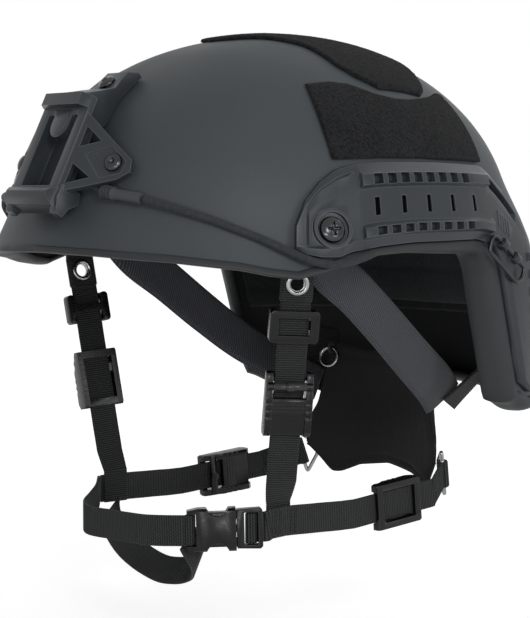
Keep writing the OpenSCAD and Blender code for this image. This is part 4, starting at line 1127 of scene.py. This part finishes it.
def make_padded_band(side):
    route, width = curve(BAND_ROUTE, 16), curve(BAND_WIDTH, 16)
    section = pad_section()
    rings, uvs = [], []
    n = len(route)
    for i, (p, run) in enumerate(zip(route, runs(route))):
        face, across = faced(route, i, 1, width[i])
        ends = min(1.0, math.sqrt((i + 0.6) / HEM), math.sqrt((n - 1 - i + 0.6) / HEM))
        thick = PADDED_T * band_swell(i) * ends
        rings.append([p + across * x * PADDED_W + face * y * thick for x, y in section])
        uvs.append([(x * PADDED_W, run) for x, y in section])
    obj = rings_piece(f"{side}_padded_cover", rings, uvs=uvs, side=side)
    finish(obj, BAND, "liner_padding", f"{side}_padded_band", pad=0.8)
    # A sewn hem along both edges, on both faces
    seams = []
    for k in range(HEM, n - HEM):
        for edge, s in ((0.41, 1), (-0.41, 1), (0.41, -1), (-0.41, -1)):
            ends = []
            for i in (k - 1, k):
                face, across = faced(route, i, 1, width[i])
                lift = face * s * (PADDED_T * 0.345 * band_swell(i))
                ends.append(route[i] + across * edge * PADDED_W + lift)
            gap = (ends[1] - ends[0]) * 0.18
            seams.append((ends[0] + gap, ends[1] - gap, face * s))
    thread(f"{side}_band_hem", seams, "liner_padding", side)


# Nape pad


NAPE_HALF = 53
NAPE_BOW = 15
NAPE_HIGH = both_ways([(0, -62), (22, -60), (35, -57), (40, -60), (46, -90), (NAPE_HALF, -103)])
NAPE_LOW = both_ways([(0, -123), (22, -126), (34, -131), (39, -131), (46, -123), (NAPE_HALF, -116)])
PULL_X = -38
PULL_TURN = math.degrees(math.atan(-2 * NAPE_BOW * PULL_X / NAPE_HALF**2))
PULL_Y = NAPE.y + 12.4 - NAPE_BOW * (PULL_X / NAPE_HALF) ** 2
PULL_AT = Vector((PULL_X, PULL_Y, lookup(PULL_X, NAPE_HIGH) - 1))
PULL_R = 5.4
PULL_WIRE = 1.6


def make_nape_pad():
    columns, rows = 106, 44
    points = []
    for way in (-1, 1):
        for share, f in grid(columns, rows):
            x = mix(-NAPE_HALF, NAPE_HALF, share)
            u = x / NAPE_HALF
            z = mix(smooth_lookup(x, NAPE_LOW), smooth_lookup(x, NAPE_HIGH), f)
            seam = 0.9 * groove(min(f, 1 - f) - 0.07, 0.014)
            puff = 0.7 + (NAPE_PAD_T / 2 - 0.7) * (1 - abs(2 * f - 1) ** 5) * (1 - u**8) - seam
            where = Vector((x * 0.06, f * 3, way))
            ripple = 0.35 * noise.noise(where) + 0.12 * noise.noise(where * 3.7)
            y = NAPE.y + NAPE_BOW - NAPE_BOW * u * u - way * (puff + ripple)
            points.append(Vector((x, y, z)))
    obj = quilt("nape_cushion", columns, rows, points)
    finish(obj, KNIT, "nape_fabric", "nape_pad", pad=0.6)


# Liner


def band_low(a):
    return max(max(rim_z(a), rim_z(abs(wrap(a)) - 2.6)) + 8, -39)


def headband_point(a, f):
    edge = min(f, 1 - f)
    round_off = 3.2 * (1 - min(1, edge / 0.09)) ** 2
    channel = 1.3 * groove(a / 15 - round(a / 15), 0.07)
    hem = 1.2 * groove(edge - 0.13, 0.02)
    return skin(a, mix(BAND_TOP, band_low(a), f), HEADBAND_IN + round_off + min(1.6, channel + hem))


def make_headband():
    """Sewn band with quilted channels on its inner face."""
    rings = [[headband_point(a, k / 44) for a in DIRS] for k in range(45)]
    for k in range(1, 20):
        rings.append([skin(a, mix(band_low(a), BAND_TOP, k / 20), LINER_LIFT) for a in DIRS])
    obj = rings_piece("headband_cover", rings, closed=True)
    finish(obj, LINER, "liner_padding", "headband", pad=0.7)


def wall_cushion(name, a0, a1, z0, z1, side="left"):
    """A cushion with a cross of seams, between two directions and two heights."""
    back_lift = HEADBAND_IN - LINER_GAP
    columns, rows = 48, 30
    front, back = [], []
    for share, height in grid(columns, rows):
        u, v = share * 2 - 1, height * 2 - 1
        crown = (1 - u**4) * (1 - v**4)
        seam = 1.2 * groove(abs(u) - 0.02, 0.05) + 0.9 * groove(abs(v) - 0.02, 0.06)
        a = mix(a0, a1, (u * (1 - 0.08 * v * v) + 1) / 2)
        z = mix(z0, z1, (v * (1 - 0.08 * u * u) + 1) / 2)
        puff = 1.5 + (CUSHION_T - 1.5) * crown**0.8 - seam * crown
        front.append(skin(a, z, back_lift - puff))
        back.append(skin(a, z, back_lift))
    obj = quilt(f"{name}_cover", columns, rows, sided(front + back, side))
    finish(obj, PAD, "liner_padding", name, pad=0.7)


def crown_pad_point(f, t, puff):
    r = 0.03 + 0.97 * f
    seam = 1.6 * groove(t / 60 - round(t / 60), 0.06) * ease(f * 5) * (1 - r**4)
    depth = 2 + (CUSHION_T - 2) * (1 - r**4) - seam
    reach = CROWN_PAD_R * r
    return crown_at(reach * sin(t), LEAN - reach * cos(t), LINER_LIFT - puff * depth)


def make_crown_cushion():
    rows = [(k, 1) for k in range(23)] + [(k, 0) for k in range(22, -1, -2)]
    rings = [[crown_pad_point(k / 22, 360 * i / 64, puff) for i in range(64)] for k, puff in rows]
    obj = rings_piece("crown_cushion_cover", rings)
    finish(obj, PAD, "liner_padding", "crown_cushion", pad=0.7)


def make_liner():
    make_headband()
    wall_cushion("brow_cushion", -34, 34, 12, 44)
    wall_cushion("rear_cushion", 150, 210, -34, 6)
    for side in SIDES:
        wall_cushion(f"{side}_cushion", 94, 136, 10, 42, side)
    make_crown_cushion()


# Strap tabs


EYE_R = 4
TAB_W = WEB_W + 1


def make_tab(side):
    top, mid = [skin(STRAP_DIR, z, HEADBAND_IN - TAB_T) for z in (14, 2)]
    w0, w1 = turn_width(STRAP_DIR), turn_width(TURN[side])
    route = [top, mid, EYELET - STRAP_WAY * 7]
    obj = strap(f"{side}_tab_webbing", route, [w0, w0, w1], TAB_W, TAB_T - 0.4, side)
    finish(obj, WEB, "webbing", f"{side}_strap_tab")
    # The end of the tab is a plate with the eyelet's hole in it
    place = eyelet_place(side)
    h = TAB_T / 2
    rings, uvs = [], []
    for k in range(96):
        x, z = cos(k * 3.75), sin(k * 3.75)
        reach = min(TAB_W / 2 / max(1e-6, abs(x)), (9.7 if z > 0 else 7.2) / max(1e-6, abs(z)))
        if z > 0:
            reach = min(reach, 16.4 / (z + abs(x)))
        over = [(EYE_R, h - 0.3), (EYE_R + 0.4, h), (reach - 1.6, h)]
        over += [(reach - 0.5, h - 0.2), (reach, h - 0.9)]
        under = [(r, -y) for r, y in reversed(over)]
        flat = under[-1:] + over + under[:-1]
        rings.append([place @ Vector((r * x, y, r * z)) for r, y in flat])
        uvs.append([(r * x, r * z) for r, y in flat])
    finish(rings_piece(f"{side}_tab_end", rings, True, uvs, side), WEB, "webbing")
    line = [EYELET + STRAP_WAY * 5, EYELET + STRAP_WAY * 10]
    seams = seams_across(line, (1.8, 3.6), w1, TAB_T, WEB_W - 2)
    seams += seams_across([mid, top], (1.5, 4), w0, TAB_T - 0.4)
    thread(f"{side}_tab_seams", seams, "webbing", side)


# Wires, rollers, eyelets, rail floors and screws


def rounded(corners, r):
    """Closed route through the given corners, each rounded."""
    out = []
    for i, p in enumerate(corners):
        a, b = corners[i - 1], corners[(i + 1) % len(corners)]
        first = p + (a - p).normalized() * min(r, (a - p).length * 0.48)
        last = p + (b - p).normalized() * min(r, (b - p).length * 0.48)
        for k in range(7):
            t = k / 6
            out.append(first * (1 - t) ** 2 + p * (2 * t * (1 - t)) + last * t * t)
    return out


def wire(name, place, corners, d, r, side="left"):
    """A closed ring of round wire in the XY plane of a matrix."""
    flat = rounded([Vector((x, y, 0)) for x, y in corners], r)
    turns = [2 * math.pi * k / 16 for k in range(16)]
    rings = []
    for i, p in enumerate(flat):
        out = (flat[(i + 1) % len(flat)] - flat[i - 1]).normalized().cross(UP)
        rings.append([place @ (p + (out * math.cos(t) + UP * math.sin(t)) * d / 2) for t in turns])
    return rings_piece(name, rings, closed=True, side=side)


def hoop(name, centre, axis, radius, d):
    """A round ring of wire."""
    x = axis.orthogonal().normalized()
    place = axes(centre, x, axis.cross(x), axis)
    corners = [(radius * cos(k * 9), radius * sin(k * 9)) for k in range(40)]
    return wire(name, place, corners, d, 0.1)


def rod(name, place, start, end, d, side):
    """A round pin along the X of a matrix, with rounded ends."""
    rings = []
    for x, f in ((start, 0.75), (start + 0.3, 1), (end - 0.3, 1), (end, 0.75)):
        r = f * d / 2
        rings.append([place @ Vector((x, r * cos(t), r * sin(t))) for t in range(0, 360, 18)])
    return rings_piece(name, rings, side=side)


def once(side, node):
    """The left piece stands for a node that has both sides."""
    return [node] if side == "left" else []


def make_rollers():
    """Glossy rollers of the front locks, lighter grey than the locks: the lighter grey is a painted shine.
    """
    for side in SIDES:
        for name, half, y, d in (("roller", ROLLER_HALF, 2, 4.1), ("roller_middle", 2.05, 2.5, 4.9)):
            lift = Matrix.Translation((0, WEB_T / 2 + RUN_GAP + y, LOCK_AT - LOCK_L / 2 + 6))
            obj = rod(f"{side}_{name}", eyelet_place(side) @ lift, -half, half, d, side)
            finish(obj, GLOSS_WITH_PAINTED_SHINE, "hardware_plastic", body=f"{side}_front_lock")


def make_eyelets():
    """Rolled metal rims on both faces of the tabs, joined by a barrel."""
    h = TAB_T / 2
    rolled = [(4.65 + 1.05 * cos(t), h + 0.25 + 0.85 * max(0, sin(t))) for t in range(180, -1, -15)]
    over = [(3.5, h + 0.5), *rolled, (4.1, h + 0.3)]
    profile = over + [(r, -z) for r, z in reversed(over)]
    for side in SIDES:
        place = eyelet_place(side) @ Matrix.Rotation(math.radians(-90), 4, "X")
        turns = [(cos(7.5 * k), sin(7.5 * k)) for k in range(48)]
        rings = [[place @ Vector((r * x, r * y, z)) for r, z in profile] for x, y in turns]
        rim = rings_piece(f"{side}_eyelet_rim", rings, closed=True, side=side)
        finish(rim, STEEL, "steel_wire", *once(side, "strap_eyelets"))


def rail_point(a, row, grow):
    """A place on the rail. Rows run from its foot to its upper edge."""
    low = max(lookup(a, RAIL_LOW), rim_z(a) + TRIM_H - TRIM_WEB + 0.5)
    return skin(a, mix(low, lookup(a, RAIL_HIGH), (row - RAIL_FOOT) / RAIL_ROWS), grow)


def make_window_floors():
    """Floors that show inside the windows and slots of the rails. The floor under the slots is near black, a
    painted shadow.
    """
    strips = (
        ("low", 7.2, 13.8, 4.8, MOULDED),
        # Painted shadow: a near-black sheet under the slots.
        ("middle", 16, 29, 4.3, SLOT_SHADOW_PAINT),
        ("high", 32.6, 39.8, 4.8, MOULDED),
    )
    for side in SIDES:
        for name, low, high, top, mat in strips:
            corners = ((low, top), (high, top), (high, 2), (low, 2))
            turns = [mix(WINDOW_START, WINDOW_END, k / 60) for k in range(61)]
            rings = [[rail_point(a, row, g) for row, g in corners] for a in turns]
            finish(rings_piece(f"{side}_{name}_floor", rings, side=side), mat, "hardware_plastic")


def domed_screw(name, place, d, h, shank, length, socket, lobes, side):
    """Pan head, its axis the Z of a matrix. The recess is a hexagon or, with lobes, a cross."""
    r, s = d / 2, socket / 2
    profile = [(shank / 2, -length, 0), (shank / 2, 0, 0), (r - 0.25, 0, 0), (r, 0.25, 0), (r, 0.5, 0)]
    profile += [(r * cos(t), 0.5 + (h - 0.5) * sin(t), 0) for t in range(8, 68, 6)]
    profile += [(s + 0.35, h - 0.06, 0.4), (s + 0.1, h - 0.2, 0.9), (s, h - 1.5, 1)]
    rings = []
    for reach, z, share in profile:
        ring = []
        for k in range(48):
            a = 7.5 * k
            corner = 0.3 + 0.9 * abs(cos(2 * a)) ** 3 if lobes else cos(30) / cos(a % 60 - 30)
            at = reach * mix(1, corner, share)
            ring.append(place @ Vector((at * cos(a), at * sin(a), z)))
        rings.append(ring)
    return rings_piece(name, rings, side=side)


def plate_point(x, v, w):
    """A place on the mount plate: v up the plate and w out of it."""
    foot = Vector((0, skin(0, PLATE_Z).y - PLATE_REACH, PLATE_Z))
    lean, rise = sin(PLATE_TILT), cos(PLATE_TILT)
    return foot + Vector((x, v * lean - w * rise, v * rise + w * lean))


def strut_place():
    """Matrix of the left strut's outer face, and the place of its foot."""
    low, top = plate_point(PLATE_W / 2, 0.4, -0.6), plate_point(PLATE_W / 2, PLATE_H - 4, -0.6)
    foot = skin(22.3, 43.3, 5)
    n = (low - top).cross(foot - top).normalized()
    v = (top - low).normalized()
    return axes(low, v.cross(n), v, n), foot


STRUT, STRUT_FOOT = strut_place()
SCREW_AT = STRUT.inverted() @ STRUT_FOOT + Vector((-9, -1.3, 0))
SCREW_AT.z = -0.95
ARM_Z = plate_point(0, PLATE_H, 0).z + 13


def make_screws():
    place = skin_frame(67.5, 12, RAIL_T - 1.3)
    for side in SIDES:
        screw = domed_screw(f"{side}_rail_screw", place, 12.8, 3.4, 5, 0.2, 5.6, True, side)
        finish(screw, SCREW, "black_screws", *once(side, "rail_screws"))
    place = STRUT @ Matrix.Translation(SCREW_AT)
    arm = skin_frame(0, ARM_Z, 8) @ Matrix.Translation((0, 0, 0.05))
    for name, at, length in (("left", place, 4.3), ("right", place, 4.3), ("arm", arm, 6.9)):
        screw = domed_screw(f"{name}_mount_screw", at, 9, 2.6, 4, length, 3, False, name)
        finish(screw, SCREW, "black_screws", *once(name, "mount_screws"))


def swinging(side, part, node, place, corners, d, bend, mat, pins):
    """A bent wire on a body of its own, with pins (start, end, diameter) along its X."""
    body = f"{side}_{node}"
    obj = wire(f"{side}_{part}_wire", place, corners, d, bend, side)
    finish(obj, mat, "steel_wire", body, body=body)
    for start, end, thick in pins:
        obj = rod(f"{side}_{part}_pin", place, start, end, thick, side)
        finish(obj, mat, "steel_wire", body=body)


def make_wires():
    for side in SIDES:
        lean = Matrix.Rotation(math.radians(BAIL_LEAN), 4, "Z")
        place = skin_frame(BAIL_DIR, BAIL_Z, RAIL_T + BAIL_LIFT) @ lean
        w, l = BAIL_W / 2, BAIL_L
        corners = [(-w + 3, 0), (-w, -3), (-w + 1.5, -l), (w - 3, -l), (w, -l + 4), (w - 1, 0)]
        pins = [(x - 2.3, x + 2.3, BAIL_PIN) for x in (-BAIL_LUG, BAIL_LUG)]
        swinging(side, "bail", "bail", place, corners, BAIL_WIRE, 2.2, DARK_STEEL, pins)
        place = along(NAPE, NAPE + RING_WAY, NAPE_UP) @ Matrix.Rotation(math.radians(-90), 4, "X")
        h = (WEB_W + 10) / 2
        corners = [(-h, 0), (-h + 1.5, -2), (-3, -10), (3, -10), (h - 1.5, -2), (h, 0)]
        pins = [(-WEB_W / 2 - 0.5, WEB_W / 2 + 0.5, RING_PIN)]
        swinging(side, "nape", "nape_ring", place, corners, RING_WIRE, 2.5, STEEL, pins)
    turn = Matrix.Rotation(math.radians(PULL_TURN), 3, "Z")
    axis = turn @ Matrix.Rotation(math.radians(74), 3, "X") @ UP
    ring = hoop("pull_wire", PULL_AT + Vector((0.4, -1.9, -PULL_R * 0.96)), axis, PULL_R, PULL_WIRE)
    finish(ring, STEEL, "steel_wire", "pull_ring", body="pull_ring")
    loop = hoop("pull_loop", PULL_AT, turn @ Vector((1, 0, 0)), 2.5, 1.6)
    finish(loop, BRAID, "nape_fabric")


# Elastic cords


CORD_ROUTE = [
    (27.4, 26.2, 4.1), (35, 21.8, 3.2), (41.5, 17.3, 2.4), (47.5, 12.3, 2.4), (53, 7.4, 2.6),
    (57, 3.4, 3.6), (62, -1.6, 4.6), (66, -3.9, 4.9), (70, -3.4, 4.9), (74, -1.4, 4.9), (77.5, 1, 4.9),
]


def tube_rings(route, d, sides, pitch=0.0):
    """Rings of a round cord and its UVs: u in turns and v in millimetres."""
    rings, uvs = [], []
    for i, (p, run) in enumerate(zip(route, runs(route))):
        way = (route[min(i + 1, len(route) - 1)] - route[max(i - 1, 0)]).normalized()
        a = UP.cross(way).normalized()
        b = way.cross(a)
        ring = []
        for k in range(sides):
            t = 2 * math.pi * k / sides
            plait = 0.06 * math.sin(8 * t + pitch * run) * math.sin(8 * t - pitch * run) if pitch else 0
            ring.append(p + (a * math.cos(t) + b * math.sin(t)) * (d / 2 + plait))
        rings.append(ring)
        uvs.append([(k / sides, run) for k in range(sides)])
    return rings, uvs


def make_elastic(side):
    stops = [skin(*p) for p in CORD_ROUTE]
    route = [p for _, p in even(curve(stops, 24), 0.35)]
    boot = skin(16.5, 29.8, 4)
    anchor = STRUT @ Vector((9, 7, -6))
    length = (anchor - boot).length
    tail = [boot.lerp(anchor, (0.3 + k * 0.4) / length) for k in range(int(length / 0.4))]
    rings, uvs = tube_rings(route, CORD_D, 32, 2 * math.pi / PLAIT)
    cord = rings_piece(f"{side}_elastic_cord", rings, uvs=uvs, side=side)
    finish(cord, BRAID, "rubber_trim", f"{side}_elastic")
    rings, uvs = tube_rings(tail, 1.6, 14)
    finish(rings_piece(f"{side}_elastic_tail", rings, uvs=uvs, side=side), BRAID, "rubber_trim")


# Stage and light


def emitter(name, place, size, power):
    """A rectangular lamp that faces the object."""
    data = bpy.data.lights.new(name, "AREA")
    data.shape = "RECTANGLE"
    data.size, data.size_y = size
    data.energy = power
    lamp = bpy.data.objects.new(name, data)
    z = Vector(place).normalized()
    x = UP.cross(z).normalized()
    lamp.matrix_world = axes(place, x, z.cross(x), z)
    bpy.context.scene.collection.objects.link(lamp)


# Strength of the white surroundings where they only light the object
WORLD = 0.21


def make_world(strength):
    world = bpy.data.worlds.new("studio")
    bpy.context.scene.world = world
    world.use_nodes = True
    graph = Graph(world.node_tree)
    sky = graph.tree.nodes["Background"]
    graph.feed(sky, "Color", (1, 1, 1, 1))
    graph.feed(sky, "Strength", graph.node("Mix", {0: graph.seen_directly(), 2: strength, 3: 1.0}))


def make_floor():
    """White floor below the chin strap. It shows the object's shadow, and its glow is dimmed near the
    object, a painted shade.
    """
    z = cad_box[0][2] - 0.03
    mesh = bpy.data.meshes.new("floor")
    corners = [(-3, -3, z), (3, -3, z), (3, 3, z), (-3, 3, z)]
    mesh.from_pydata(corners, [], [(0, 1, 2, 3)])
    floor = bpy.data.objects.new("floor", mesh)
    bpy.context.scene.collection.objects.link(floor)
    s = Surface("floor_paint", (0.8, 0.8, 0.8), 0.9, Emission_Color=(1, 1, 1, 1))
    # The glow is weaker near the object, a painted shade that deepens the lamps' shadow there
    away = s.node("VectorMath", {0: s.here}, "Value", operation="LENGTH")
    glow_with_painted_shade = s.span(away, 0.3, 0.8, 0.73, 0.85)
    s.set("Emission Strength", s.math("MULTIPLY", s.seen_directly(), glow_with_painted_shade))
    mesh.materials.append(s.mat)


def make_light():
    bpy.context.scene.view_settings.view_transform = "Standard"
    make_world(WORLD)
    emitter("key", (1.65, -0.8, 0.65), (0.5, 0.5), 10)
    emitter("side", (1.7, 0.2, 0.1), (0.4, 1.1), 8)
    emitter("fill", (1.15, -1.2, -0.12), (0.7, 0.14), 5)
    emitter("rim", (0.2, 1.5, 1.3), (1.0, 0.5), 1.5)
    make_floor()


make_camera()
make_light()
dress_nodes()
make_shell()
make_trim()
make_panels()
make_liner()
for hand in SIDES:
    make_tab(hand)
    make_front_strap(hand)
    make_rear_strap(hand)
    make_padded_band(hand)
    make_elastic(hand)
make_ties()
make_chin_straps()
make_nape_pad()
make_wires()
make_screws()
make_eyelets()
make_window_floors()
make_rollers()
